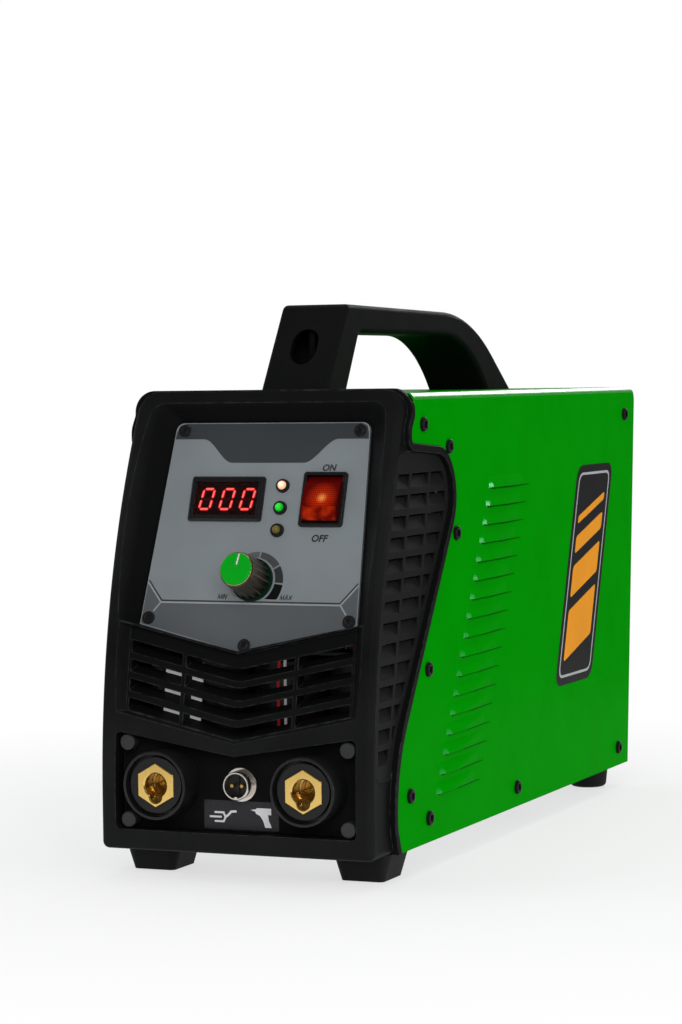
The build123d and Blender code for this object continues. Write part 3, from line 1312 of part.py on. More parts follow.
rear_plane = Plane(
    origin=(0, back(rear_edge(BASE_Z) - REAR_INSET), BASE_Z),
    x_dir=(-1, 0, 0),
    z_dir=(0, cos(radians(REAR_LEAN)), -sin(radians(REAR_LEAN))),
)
FAN_SCREWS = [
    (across * FAN_HOLES, FAN_Z + up * FAN_HOLES) for across in (-1, 1) for up in (-1, 1)
]
REAR_TOP = COVER_TOP_Z - SHEET - FIT
TRAY_NOTCH = SHEET + FIT
with BuildPart() as rear_panel:
    extrude(on_side(rear_region(0.0, TRAY_TOP, REAR_TOP)), amount=SKIN_HALF, both=True)
    extrude(section(2 * SKIN_HALF, REAR_TOP, BASE_Z, BEND), amount=FAR, both=True, mode=Mode.INTERSECT)
    extrude(
        on_side(rear_region(SHEET, TRAY_TOP + SHEET, REAR_TOP - SHEET)), amount=SKIN_HALF - SHEET,
        both=True, mode=Mode.SUBTRACT,
    )
    with BuildSketch(Plane.XY.offset(TRAY_TOP)):
        for side in (-1, 1):
            with Locations((side * SKIN_HALF, back(CASE_DEPTH))):
                Rectangle(2 * TRAY_NOTCH, CASE_DEPTH)
    extrude(amount=TRAY_FLANGE, mode=Mode.SUBTRACT)
    with BuildSketch(rear_plane):
        with Locations((0, FAN_Z)):
            for ring in range(FAN_GRILLE_RINGS, 0, -1):
                Circle(ring * FAN_GRILLE_STEP + FAN_GRILLE_SLOT)
                Circle(ring * FAN_GRILLE_STEP, mode=Mode.SUBTRACT)
            Rectangle(FAN_SIZE, FAN_GRILLE_SPOKE, rotation=45, mode=Mode.SUBTRACT)
            Rectangle(FAN_SIZE, FAN_GRILLE_SPOKE, rotation=-45, mode=Mode.SUBTRACT)
        with Locations(*FAN_SCREWS):
            Circle(SCREW_SHANK + SCREW_PLAY)
        with Locations((GLAND_X, GLAND_Z)):
            Circle(GLAND_THREAD + SCREW_PLAY)
    extrude(amount=-2 * SHEET, mode=Mode.SUBTRACT)
    extrude(screw_points([REAR_SCREW], SCREW_SHANK + SCREW_PLAY), amount=FAR, both=True, mode=Mode.SUBTRACT)
place(rear_panel.part, "rear_panel")

with BuildPart() as front_feet:
    for foot_at in FRONT_FEET:
        with BuildSketch(Plane.XY):
            with Locations(foot_at):
                RectangleRounded(*FRONT_FOOT, FOOT_CORNER)
        with BuildSketch(Plane.XY.offset(BASE_Z)):
            with Locations(foot_at):
                RectangleRounded(
                    FRONT_FOOT[0] + 2 * FRONT_FOOT_TAPER, FRONT_FOOT[1] + 2 * FRONT_FOOT_TAPER,
                    FOOT_CORNER + FRONT_FOOT_TAPER,
                )
        loft(ruled=True)
    with BuildSketch(Plane.XY.offset(BASE_Z)):
        with Locations(*FRONT_FEET):
            Circle(FOOT_BOSS)
    extrude(amount=WALL)
    with BuildSketch(Plane.XY):
        with Locations(*FRONT_FEET):
            Circle(FOOT_BORE)
    extrude(amount=FOOT_SINK, mode=Mode.SUBTRACT)
    with BuildSketch(Plane.XY):
        with Locations(*FRONT_FEET):
            Circle(SCREW_SHANK + SCREW_PLAY)
    extrude(amount=TRAY_Z, mode=Mode.SUBTRACT)
place(front_feet.part, "front_feet")

with BuildPart() as rear_feet:
    with Locations(*[(x, y, 0) for x, y in REAR_FEET]):
        Cone(
            REAR_FOOT, REAR_FOOT + REAR_FOOT_TAPER, TRAY_Z,
            align=(Align.CENTER, Align.CENTER, Align.MIN),
        )
    fillet(rear_feet.edges().group_by(Axis.Z)[0], REAR_FOOT_EDGE)
    with Locations(*[(x, y, 0) for x, y in REAR_FEET]):
        Cylinder(
            FOOT_BORE, FOOT_SINK, align=(Align.CENTER, Align.CENTER, Align.MIN), mode=Mode.SUBTRACT
        )
        Cylinder(
            SCREW_SHANK + SCREW_PLAY, TRAY_Z, align=(Align.CENTER, Align.CENTER, Align.MIN),
            mode=Mode.SUBTRACT,
        )
place(rear_feet.part, "rear_feet")

with BuildPart() as foot_screws:
    with Locations(*[(x, y, FOOT_SINK) for x, y in FRONT_FEET + REAR_FEET]):
        Cylinder(SCREW_HEAD, SCREW_RISE, align=(Align.CENTER, Align.CENTER, Align.MAX))
        Cylinder(
            SCREW_SHANK, TRAY_TOP - FOOT_SINK, align=(Align.CENTER, Align.CENTER, Align.MIN)
        )
place(foot_screws.part, "foot_screws")


# Fan and cable gland
def on_rear(at, off=0.0):
    """Plane facing back over a point of the rear panel."""
    return Plane(
        origin=rear_plane.from_local_coords((at[0], at[1], off)),
        x_dir=rear_plane.x_dir,
        z_dir=rear_plane.z_dir,
    )


FAN_AT = (0, FAN_Z)
FAN_FLOOR = -SHEET - FAN_DEPTH
with BuildPart() as fan_frame:
    with BuildSketch(on_rear(FAN_AT, -SHEET)):
        RectangleRounded(FAN_SIZE, FAN_SIZE, FAN_CORNER)
        Circle(FAN_BORE, mode=Mode.SUBTRACT)
        with GridLocations(2 * FAN_HOLES, 2 * FAN_HOLES, 2, 2):
            Circle(SCREW_SHANK + SCREW_PLAY, mode=Mode.SUBTRACT)
    extrude(amount=-FAN_DEPTH)
    with BuildSketch(on_rear(FAN_AT, FAN_FLOOR)):
        Circle(FAN_HUB)
        with PolarLocations(FAN_BORE / 2, FAN_STRUTS):
            Rectangle(FAN_BORE + FIT, FAN_STRUT)
    extrude(amount=FAN_STRUT_SHEET)
    with BuildSketch(on_rear(FAN_AT, FAN_FLOOR)):
        Circle(FAN_POST)
    extrude(amount=FAN_POST_HEIGHT)
place(fan_frame.part, "fan_frame")


def blade_end(angle, radius, chord, pitch):
    """Section of a fan blade across a radius."""
    turn = radians(angle)
    hub = on_rear(FAN_AT, -SHEET - FAN_DEPTH / 2)
    radial = hub.x_dir * cos(turn) + hub.y_dir * sin(turn)
    around = hub.y_dir * cos(turn) - hub.x_dir * sin(turn)
    plane = Plane(origin=hub.origin + radial * radius, x_dir=around, z_dir=radial)
    with BuildSketch(plane) as outline:
        Rectangle(chord, FAN_BLADE_SHEET, rotation=pitch)
    return outline.sketch


with BuildPart() as fan_rotor:
    with BuildSketch(on_rear(FAN_AT, -SHEET - FAN_GAP)):
        Circle(FAN_HUB)
    extrude(amount=-FAN_DEPTH + FAN_STRUT_SHEET + 2 * FAN_GAP)
    for blade in range(FAN_BLADES):
        step = 360 * blade / FAN_BLADES
        loft(
            [
                blade_end(step, FAN_HUB - FAN_BLADE_SHEET, *FAN_ROOT),
                blade_end(step, FAN_TIP, *FAN_END),
            ],
            ruled=True,
        )
    with BuildSketch(on_rear(FAN_AT, FAN_FLOOR)):
        Circle(FAN_POST + SHAFT_PLAY)
    extrude(amount=FAN_POST_HEIGHT + FIT, mode=Mode.SUBTRACT)
place(fan_rotor.part, "fan_rotor")

with BuildPart() as fan_screws:
    with Locations(*[on_rear(at) for at in FAN_SCREWS]):
        Cylinder(SCREW_HEAD, SCREW_RISE, align=(Align.CENTER, Align.CENTER, Align.MIN))
        Cylinder(SCREW_SHANK, SHEET + FAN_DEPTH, align=(Align.CENTER, Align.CENTER, Align.MAX))
place(fan_screws.part, "fan_screws")

GLAND_AT = (GLAND_X, GLAND_Z)
with BuildPart() as cable_gland:
    with BuildSketch(on_rear(GLAND_AT)):
        RegularPolygon(GLAND_FLATS / 2, 6, major_radius=False)
    extrude(amount=GLAND_HEX)
    with BuildSketch(on_rear(GLAND_AT, GLAND_HEX)):
        Circle(GLAND_FLATS / 2 - FIT)
    extrude(amount=GLAND_DOME)
    fillet(cable_gland.faces().sort_by(Axis((0, 0, 0), rear_plane.z_dir))[-1].edges(), GLAND_EDGE)
    with BuildSketch(on_rear(GLAND_AT)):
        Circle(GLAND_THREAD)
    extrude(amount=-GLAND_TAIL)
    with BuildSketch(on_rear(GLAND_AT, -GLAND_TAIL)):
        Circle(GLAND_BORE)
    extrude(amount=FAR, mode=Mode.SUBTRACT)
place(cable_gland.part, "cable_gland")

with BuildPart() as gland_nut:
    with BuildSketch(on_rear(GLAND_AT, -SHEET)):
        RegularPolygon(GLAND_FLATS / 2 + FIT, 6, major_radius=False)
        Circle(GLAND_THREAD, mode=Mode.SUBTRACT)
    extrude(amount=-GLAND_NUT)
place(gland_nut.part, "gland_nut")

# Capacitor bank on the tray
CANS = [(x, back(depth)) for x in CAN_X for depth in CAN_DEPTHS]
POSTS = [(x + side * CAN_POST_X, y) for x, y in CANS for side in (-1, 1)]
CAN_TOP = TRAY_TOP + CAN_HEIGHT
BANK_Z = CAN_TOP + CAN_POST[1]
BANK_TOP = BANK_Z + BANK_BOARD
with BuildPart() as capacitors:
    with BuildSketch(Plane.XY.offset(TRAY_TOP)):
        with Locations(*CANS):
            Circle(CAN)
    extrude(amount=CAN_HEIGHT)
    chamfer(capacitors.faces().filter_by(Axis.Z).group_by(Axis.Z)[-1].edges(), CAN_EDGE)
    with BuildSketch(Plane.XY.offset(CAN_TOP)):
        with Locations(*POSTS):
            Circle(CAN_POST[0])
    extrude(amount=CAN_POST[1])
place(capacitors.part, "capacitors")

BANK_MID = (CAN_DEPTHS[0] + CAN_DEPTHS[-1]) / 2
with BuildPart() as bank_board:
    with BuildSketch(Plane.XY.offset(BANK_Z)):
        with Locations((0, back(BANK_MID))):
            RectangleRounded(
                CAN_X[-1] - CAN_X[0] + 2 * CAN, CAN_DEPTHS[-1] - CAN_DEPTHS[0] + 2 * CAN, CAN_EDGE
            )
        with Locations(*POSTS):
            Circle(SCREW_SHANK + SCREW_PLAY, mode=Mode.SUBTRACT)
    extrude(amount=BANK_BOARD)
place(bank_board.part, "bank_board")

with BuildPart() as bank_screws:
    with Locations(*[(x, y, BANK_TOP) for x, y in POSTS]):
        Cylinder(BANK_SCREW[0], BANK_SCREW[1], align=(Align.CENTER, Align.CENTER, Align.MIN))
        Cylinder(SCREW_SHANK, BANK_BOARD, align=(Align.CENTER, Align.CENTER, Align.MAX))
place(bank_screws.part, "bank_screws")

# Charging transformer, switching module on its heatsink, and charge relay
WINDOW = (CORE_SIZE[0] - 4 * CORE_LIMB) / 2
CORE_MID = TRAY_TOP + CORE_SIZE[2] / 2
core_plane = Plane.XZ.offset(-back(CORE_DEPTH))
with BuildPart() as transformer_core:
    with BuildSketch(core_plane):
        with Locations((0, CORE_MID)):
            Rectangle(CORE_SIZE[0], CORE_SIZE[2])
            with GridLocations(2 * CORE_LIMB + WINDOW, 1, 2, 1):
                Rectangle(WINDOW, CORE_SIZE[2] - 2 * CORE_LIMB, mode=Mode.SUBTRACT)
    extrude(amount=CORE_SIZE[1] / 2, both=True)
place(transformer_core.part, "transformer_core")

with BuildPart() as transformer_coil:
    with BuildSketch(Plane.XY.offset(CORE_MID)):
        with Locations((0, back(CORE_DEPTH))):
            RectangleRounded(
                2 * (CORE_LIMB + WINDOW - COIL_GAP), CORE_SIZE[1] + 2 * COIL_SWELL, COIL_CORNER
            )
            Rectangle(
                2 * (CORE_LIMB + COIL_GAP), CORE_SIZE[1] + 2 * COIL_GAP, mode=Mode.SUBTRACT
            )
    extrude(amount=CORE_SIZE[2] / 2 - CORE_LIMB, both=True)
place(transformer_coil.part, "transformer_coil")

with BuildPart() as heatsink:
    with Locations((0, back(SINK_DEPTH), TRAY_TOP)):
        Box(*SINK_SIZE, align=(Align.CENTER, Align.CENTER, Align.MIN))
    fin_pitch = SINK_SIZE[0] / SINK_FINS
    with Locations((0, back(SINK_DEPTH), TRAY_TOP)):
        with GridLocations(fin_pitch, 1, SINK_FINS - 1, 1):
            Box(
                SINK_SPACE, 2 * SINK_SIZE[1], SINK_SIZE[2] - SINK_BASE,
                align=(Align.CENTER, Align.CENTER, Align.MIN), mode=Mode.SUBTRACT,
            )
place(heatsink.part, "heatsink")

with BuildPart() as thyristor:
    with BuildSketch(Plane.XY.offset(TRAY_TOP + SINK_SIZE[2])):
        with Locations((0, back(SINK_DEPTH))):
            RectangleRounded(MODULE_SIZE[0], MODULE_SIZE[1], CAN_EDGE)
    extrude(amount=MODULE_SIZE[2])
    with BuildSketch(Plane.XY.offset(TRAY_TOP + SINK_SIZE[2] + MODULE_SIZE[2])):
        with Locations((0, back(SINK_DEPTH))):
            with GridLocations(MODULE_SIZE[0] / 3, 1, 3, 1):
                Circle(CAN_POST[0])
    extrude(amount=CAN_POST[1])
place(thyristor.part, "thyristor")

with BuildPart() as charge_relay:
    with Locations((RELAY_AT[0], back(RELAY_AT[1]), TRAY_TOP)):
        Box(*RELAY_SIZE, align=(Align.CENTER, Align.CENTER, Align.MIN))
    fillet(charge_relay.edges().filter_by(Axis.Z), CAN_EDGE)
place(charge_relay.part, "charge_relay")

# Control board behind the plate
BOARD_MID = ((BOARD_U[0] + BOARD_U[1]) / 2, (BOARD_V[0] + BOARD_V[1]) / 2)
with BuildPart() as control_board:
    with BuildSketch(on_plate(BOARD_MID, -BOARD_OFF)):
        Rectangle(BOARD_U[1] - BOARD_U[0], BOARD_V[1] - BOARD_V[0])
    extrude(amount=-BOARD_SHEET)
place(control_board.part, "control_board")

with BuildPart() as board_posts:
    for post_at in POST_AT:
        with BuildSketch(on_plate(post_at, -PLATE_SHEET)):
            RegularPolygon(POST, 6)
        extrude(amount=PLATE_SHEET - BOARD_OFF)
place(board_posts.part, "board_posts")

with BuildPart() as board_parts:
    for chip_at, chip_size, chip_height in BOARD_CHIPS:
        with BuildSketch(on_plate(chip_at, -BOARD_OFF - BOARD_SHEET)):
            Rectangle(*chip_size)
        extrude(amount=-chip_height)
    for drum_at, drum_radius, drum_height in BOARD_DRUMS:
        with BuildSketch(on_plate(drum_at, -BOARD_OFF - BOARD_SHEET)):
            Circle(drum_radius)
        extrude(amount=-drum_height)
place(board_parts.part, "board_parts")

STRIP_MID = (STRIP_Z[0] + STRIP_Z[1]) / 2
with BuildPart() as insulating_strip:
    with BuildSketch(bar_plane.offset(-BAR_THICKNESS - SCREW_PLAY)):
        with Locations(((STRIP_X[0] + STRIP_X[1]) / 2, (STRIP_MID - BAR_Z) / cos(radians(BAR_LEAN)))):
            Rectangle(STRIP_X[1] - STRIP_X[0], (STRIP_Z[1] - STRIP_Z[0]) / cos(radians(BAR_LEAN)))
    extrude(amount=-STRIP_SHEET)
place(insulating_strip.part, "insulating_strip")


# Leads from the bank to the sockets, and from the board to the gun connector
def lead(points, radius, bend):
    """Round lead along a line with rounded corners."""
    with BuildPart() as cable:
        with BuildLine() as line:
            FilletPolyline(points, radius=bend)
        with BuildSketch(Plane(origin=line.line @ 0, z_dir=line.line % 0)):
            Circle(radius)
        sweep()
    return cable.part


LUG_DEPTH = PANEL_DEPTH + HEX_BACK + STUD_LENGTH / 2
LUG_SLOPE = radians(LUG_ANGLE)
LUG_REACH = LUG[0] + SCREW_PLAY
LEAD_Z = BANK_TOP + LEAD + FIT
LEAD_PATH = [
    (LEAD_X, back(TERMINAL_DEPTH - TERMINAL - SCREW_PLAY), LEAD_Z),
    (LEAD_X, back(LUG_DEPTH), LEAD_Z),
    (LEAD_X, back(LUG_DEPTH), SOCKET_Z + (LEAD_X - SOCKET_X) * tan(LUG_SLOPE)),
    (SOCKET_X + LUG_REACH * cos(LUG_SLOPE), back(LUG_DEPTH), SOCKET_Z + LUG_REACH * sin(LUG_SLOPE)),
]
with BuildPart() as weld_lead_red:
    add(lead(LEAD_PATH, LEAD, LEAD_BEND))
place(weld_lead_red.part, "weld_lead_red")

with BuildPart() as weld_lead_black:
    add(mirror(weld_lead_red.part, about=Plane.YZ, mode=Mode.PRIVATE))
place(weld_lead_black.part, "weld_lead_black")

with BuildPart() as lead_lugs:
    with BuildSketch(Plane.XZ.offset(-back(LUG_DEPTH))):
        with Locations((SOCKET_X, SOCKET_Z)):
            Circle(LUG[0])
            Circle(STUD, mode=Mode.SUBTRACT)
    extrude(amount=LUG[1] / 2, both=True)
    with BuildSketch(Plane.XY.offset(BANK_TOP)):
        with Locations((LEAD_X, back(TERMINAL_DEPTH))):
            Circle(TERMINAL)
    extrude(amount=2 * LEAD + FIT)
    mirror(about=Plane.YZ)
place(lead_lugs.part, "lead_lugs")


def trigger_path(pin_x, depth, x):
    """Line from the back of a connector pin up to the foot of the control board."""
    end = plate_plane.from_local_coords((x, BOARD_V[0] - WIRE, -BOARD_OFF - BOARD_SHEET / 2))
    return [
        (pin_x, back(PANEL_DEPTH + PIN_BACK), CONNECTOR_Z), (pin_x, back(depth), CONNECTOR_Z),
        (x, back(depth), WIRE_RISE[0]), (x, back(depth), WIRE_RISE[1]), end,
    ]


with BuildPart() as trigger_wire_red:
    add(lead(trigger_path(PIN_X, WIRE_DEPTHS[0], WIRE_X[0]), WIRE, WIRE_BEND))
place(trigger_wire_red.part, "trigger_wire_red")

with BuildPart() as trigger_wire_white:
    add(lead(trigger_path(-PIN_X, WIRE_DEPTHS[1], WIRE_X[1]), WIRE, WIRE_BEND))
place(trigger_wire_white.part, "trigger_wire_white")
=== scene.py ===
from math import cos, pi, radians, sin, tan

import bmesh
import bpy
from mathutils import Matrix, Vector


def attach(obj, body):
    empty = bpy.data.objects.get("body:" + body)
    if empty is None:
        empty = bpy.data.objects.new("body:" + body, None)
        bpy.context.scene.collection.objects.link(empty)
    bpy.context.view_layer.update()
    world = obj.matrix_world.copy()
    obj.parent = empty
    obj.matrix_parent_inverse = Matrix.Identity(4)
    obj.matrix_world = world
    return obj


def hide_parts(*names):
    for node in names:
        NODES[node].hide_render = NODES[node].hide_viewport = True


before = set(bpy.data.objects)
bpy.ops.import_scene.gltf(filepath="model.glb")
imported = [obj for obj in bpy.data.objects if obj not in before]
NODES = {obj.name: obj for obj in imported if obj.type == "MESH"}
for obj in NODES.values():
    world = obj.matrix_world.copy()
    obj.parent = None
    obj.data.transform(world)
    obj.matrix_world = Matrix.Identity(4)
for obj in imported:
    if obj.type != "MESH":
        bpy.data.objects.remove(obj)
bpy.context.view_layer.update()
MM = 0.001

# Places on the machine, in millimetres, as in the part's source
CASE_DEPTH = 474.5
COVER_TOP_Z = 271.0
COVER_HALF = 85.5
REAR_LEAN = radians(4.9)
REAR_CORNER = 9.0
SOCKET_PROUD = 8.2
CORNER_LOSS = REAR_CORNER * (tan(REAR_LEAN) + 1 / cos(REAR_LEAN) - 1)
FACE_Y = (SOCKET_PROUD + CORNER_LOSS - CASE_DEPTH) / 2
PLATE_DEPTH = 15.3
PLATE_POINT_Z = 126.4
PLATE_LEAN = radians(19.4)
PLATE_TOP_HALF = 60.3
PLATE_LOW_HALF = 66.8
PLATE_HEIGHT = 136.0
PLATE_SHOULDER = 16.0
PANEL_DEPTH = 11.5
SOCKET_AT = (45.0, 53.7)
CONTACT_FACE = 18.0
METER_AT = (-22.2, 90.2)
METER_VIEW = (39.2, 19.9)
METER_FACE = 0.8
SWITCH_AT = (37.4, 90.2)
LAMPS = ((11.4, 98.2), (11.4, 85.2), (11.4, 72.0))
LAMP_TIP = 4.6
KNOB_AT = (0.4, 42.6)
KNOB_TOP = 25.0
KNOB_TURN = radians(8.0)
SCREW_HEAD = 4.2
SIDE_SCREWS = (
    (76.0, 253.0), (116.0, 239.5), (126.5, 189.0), (79.5, 114.0), (49.7, 45.8),
    (78.4, 29.4), (227.0, 27.5), (430.4, 27.8), (450.0, 252.8),
)
PLATE_SCREWS = ((-54.7, 131.0), (54.7, 131.0), (-61.7, 19.7), (61.7, 19.7), (0.0, 4.9))
PLATE_SCREW_HEAD = 3.75
LOUVRE_ROWS = 17
LOUVRE_DEPTH = 182.0
LOUVRE_Z = 213.0
LOUVRE_PITCH = 10.74
LOUVRE_SHIFT = 5.79
LOUVRE_FOOT = LOUVRE_Z - LOUVRE_PITCH * (LOUVRE_ROWS - 1)
SIDES = ((-1, "left"), (1, "right"))


def axes(origin, across, up):
    """Frame of a flat face, from millimetres to metres: x across, y up, z out of the face."""
    across = Vector(across)
    up = Vector(up)
    out = across.cross(up)
    turn = Matrix((across, up, out)).transposed().to_4x4()
    return Matrix.Translation(Vector(origin) * MM) @ turn @ Matrix.Scale(MM, 4)


PLATE = axes(
    (0, FACE_Y + PLATE_DEPTH, PLATE_POINT_Z), (1, 0, 0), (0, sin(PLATE_LEAN), cos(PLATE_LEAN))
)
PANEL = axes((0, FACE_Y + PANEL_DEPTH, 0), (1, 0, 0), (0, 0, 1))
RIGHT = axes((COVER_HALF, FACE_Y, 0), (0, 1, 0), (0, 0, 1))
LEFT = axes((-COVER_HALF, FACE_Y, 0), (0, -1, 0), (0, 0, 1))


# Materials
class Nodes:
    """A node tree, with short ways to make the nodes used here."""

    def __init__(self, tree):
        self.tree = tree

    def node(self, kind, **settings):
        made = self.tree.nodes.new(kind)
        for key, value in settings.items():
            setattr(made, key, value)
        return made

    def link(self, output, target):
        self.tree.links.new(output, target)

    def span(self, value, low, high, start=0.3, end=0.7):
        spread = self.node("ShaderNodeMapRange")
        spread.inputs["From Min"].default_value = start
        spread.inputs["From Max"].default_value = end
        spread.inputs["To Min"].default_value = low
        spread.inputs["To Max"].default_value = high
        self.link(value, spread.inputs["Value"])
        return spread.outputs["Result"]

    def math(self, operation, first, second):
        made = self.node("ShaderNodeMath", operation=operation)
        for value, socket in ((first, made.inputs[0]), (second, made.inputs[1])):
            if isinstance(value, (int, float)):
                socket.default_value = value
            else:
                self.link(value, socket)
        return made.outputs["Value"]

    def blend(self, share, first, second):
        """Shader that goes from the first to the second by a share."""
        mixer = self.node("ShaderNodeMixShader")
        for output, socket in zip((share, first, second), mixer.inputs):
            self.link(output, socket)
        return mixer.outputs["Shader"]


EDGE_SAMPLES = 4
EDGE_NEAR = (0.75, 0.98)
STEP_BLUR = 0.05


class Look(Nodes):
    """A material built up from nodes, in object coordinates."""

    def __init__(self, name):
        self.material = bpy.data.materials.new(name)
        self.material.use_nodes = True
        super().__init__(self.material.node_tree)
        self.shader = self.tree.nodes["Principled BSDF"]
        self.coords = self.node("ShaderNodeTexCoord").outputs["Object"]

    def set(self, **values):
        for key, value in values.items():
            socket = self.shader.inputs[key.replace("_", " ")]
            socket.default_value = (*value, 1.0) if isinstance(value, tuple) else value
        return self

    def noise(self, scale, detail=2.0, stretch=None):
        where = self.coords
        if stretch:
            mapping = self.node("ShaderNodeMapping")
            mapping.inputs["Scale"].default_value = stretch
            self.link(where, mapping.inputs["Vector"])
            where = mapping.outputs["Vector"]
        noise = self.node("ShaderNodeTexNoise")
        noise.inputs["Scale"].default_value = scale
        noise.inputs["Detail"].default_value = detail
        self.link(where, noise.inputs["Vector"])
        return noise.outputs["Fac"]

    def mix(self, share, first, second):
        blend = self.node("ShaderNodeMix", data_type="RGBA")
        for value, name in ((first, "A"), (second, "B")):
            socket = next(s for s in blend.inputs if s.name == name and s.type == "RGBA")
            if isinstance(value, tuple):
                socket.default_value = (*value, 1.0)
            else:
                self.link(value, socket)
        self.link(share, next(s for s in blend.inputs if s.name == "Factor" and s.type == "VALUE"))
        return next(s for s in blend.outputs if s.type == "RGBA")

    def vector(self, operation, first, second=None):
        """Number from one or two vectors, of which the second may be constant."""
        made = self.node("ShaderNodeVectorMath", operation=operation)
        self.link(first, made.inputs[0])
        if isinstance(second, Vector):
            made.inputs[1].default_value = second
        elif second is not None:
            self.link(second, made.inputs[1])
        return made.outputs["Value"]

    def along(self, place, axis):
        """Distance in metres from the origin of a flat face, along one of its axes."""
        way = (place.to_3x3() @ Vector(axis)).normalized()
        return self.math("SUBTRACT", self.vector("DOT_PRODUCT", self.coords, way), way.dot(place.translation))

    def height(self, place, limit):
        """One above a height over a flat face, nought below it."""
        rise = self.along(place, (0, 0, 1))
        return self.span(rise, 0.0, 1.0, (limit - STEP_BLUR) * MM, (limit + STEP_BLUR) * MM)

    def fade(self, distance, start, end, full=1.0):
        """Full up to one distance in millimetres, nought beyond another."""
        return self.span(distance, full, 0.0, start * MM, end * MM)

    def edges(self, radius):
        """Rounded edge normal, and how near a point lies to an edge."""
        bevel = self.node("ShaderNodeBevel", samples=EDGE_SAMPLES)
        bevel.inputs["Radius"].default_value = radius * MM
        geometry = self.node("ShaderNodeNewGeometry")
        turn = self.vector("DOT_PRODUCT", bevel.outputs["Normal"], geometry.outputs["Normal"])
        return bevel.outputs["Normal"], self.span(turn, 1.0, 0.0, *EDGE_NEAR)

    def bump(self, height, strength, depth, normal=None):
        bump = self.node("ShaderNodeBump")
        bump.inputs["Strength"].default_value = strength
        bump.inputs["Distance"].default_value = depth * MM
        self.link(height, bump.inputs["Height"])
        if normal is not None:
            self.link(normal, bump.inputs["Normal"])
        return bump.outputs["Normal"]

    def into(self, name, output):
        self.link(output, self.shader.inputs[name])
        return self


def shade(colour, factor):
    return tuple(min(1.0, c * factor) for c in colour)


# Noises, as scale and detail, and factors that the finishes share
BLOTCHES = (28.0, 4.0)
# Ragged patches along edges, lightened partly by rubbing and partly as painted highlight
EDGE_RUB_AND_HIGHLIGHT_NOISE = (190.0, 5.0)
EDGE_RUB_AND_HIGHLIGHT_SPAN = (0.35, 0.65)
SPECKLE_DETAIL = 3.0
SPECKLE_GLOSS = 0.04
WEAR_AND_HIGHLIGHT_FACTOR = 2.2
FOOT_TINT = (0.3, 1.0, 0.6)


def finish(
    name, colour, rough, grain=1400.0, dents=0.25, depth=0.05, tone=0.12, spread=0.06,
    metal=0.0, level=0.5, round_edge=0.35, wear_and_highlight=0.0, wear_and_highlight_colour=None, stretch=None, over=None, lift=0.0,
    deep=None, foot=None,
):
    """Everyday surface: fine grain, uneven tone and gloss, softened edges lightened in ragged patches, partly
    by rubbing and partly as painted highlight.

    over is a face, a height over it and the colour below that height. deep is two faces, two heights and the
    darker colour painted as shade in the recesses under the first height. foot is the start and pitch of
    rows, and the two heights in each row between which the gloss fades. lift is how much of its colour the
    piece gives off as painted light, so that white and red things deep inside show up in the shade there.
    """
    look = Look(name)
    look.set(Metallic=metal, Specular_IOR_Level=level)
    if foot:
        start, pitch, low, high = foot
        rise = look.math("SUBTRACT", look.along(Matrix(), (0, 0, 1)), start * MM)
        within = look.math("MODULO", rise, pitch * MM)
        look.into("Specular IOR Level", look.fade(within, low, high, level))
        look.set(Specular_Tint=FOOT_TINT)
    blotch = look.noise(*BLOTCHES)
    base = look.mix(look.span(blotch, 0.0, 1.0), shade(colour, 1 - tone), shade(colour, 1 + tone))
    # Recesses under a height painted darker, as painted shade
    if deep:
        places, start, end, low = deep
        rise = look.math("MAXIMUM", *(look.along(place, (0, 0, 1)) for place in places))
        base = look.mix(look.span(rise, 0.0, 1.0, start * MM, end * MM), low, base)
    normal = None
    if round_edge:
        normal, edge = look.edges(round_edge)
        # Edges lightened in ragged patches: partly rubbing, partly a painted highlight along each edge
        if wear_and_highlight:
            ragged_rub_and_highlight = look.math("MULTIPLY", edge, look.span(look.noise(*EDGE_RUB_AND_HIGHLIGHT_NOISE), 0.0, wear_and_highlight, *EDGE_RUB_AND_HIGHLIGHT_SPAN))
            base = look.mix(ragged_rub_and_highlight, base, wear_and_highlight_colour or shade(colour, WEAR_AND_HIGHLIGHT_FACTOR))
    # Colour below a height over a face: darker sides of the brass hexagon, and painted shade on the knob's
    # skirt
    if over:
        place, height, low = over
        base = look.mix(look.height(place, height), low, base)
    look.into("Base Color", base)
    # The piece gives off some of its own colour: painted light, so that it shows in the shade inside the case
    if lift:
        look.set(Emission_Strength=lift).into("Emission Color", base)
    speckle = look.noise(grain, SPECKLE_DETAIL, stretch)
    fine = look.span(speckle, rough - SPECKLE_GLOSS, rough + SPECKLE_GLOSS)
    look.into("Roughness", look.math("ADD", look.span(blotch, -spread, spread), fine))
    look.into("Normal", look.bump(speckle, dents, depth, normal))
    return look.material


def green_coat(name, blue, rough, level, round_edge=0.4, foot=None):
    """Powder coat of the cover."""
    return finish(name, (0.0, 0.243, blue), rough, 900.0, 0.1, 0.04, 0.04, 0.03, level=level,
                  round_edge=round_edge, wear_and_highlight=0.2, wear_and_highlight_colour=(0.01, 0.3, 0.02), foot=foot)


def print_ink(name, colour, rough=0.42, dents=0.12, tone=0.05, level=0.4):
    return finish(name, colour, rough, 2200.0, dents, 0.03, tone, 0.04, level=level, round_edge=0.0)


def decal_ink(name, colour, tone=0.05):
    return finish(name, colour, 0.36, 900.0, 0.12, 0.04, tone, 0.04, level=0.04, round_edge=0.0)


LENS_GRAIN = 900.0
LENS_DENTS = (0.1, 0.05)
LENS_SHADE = 0.8


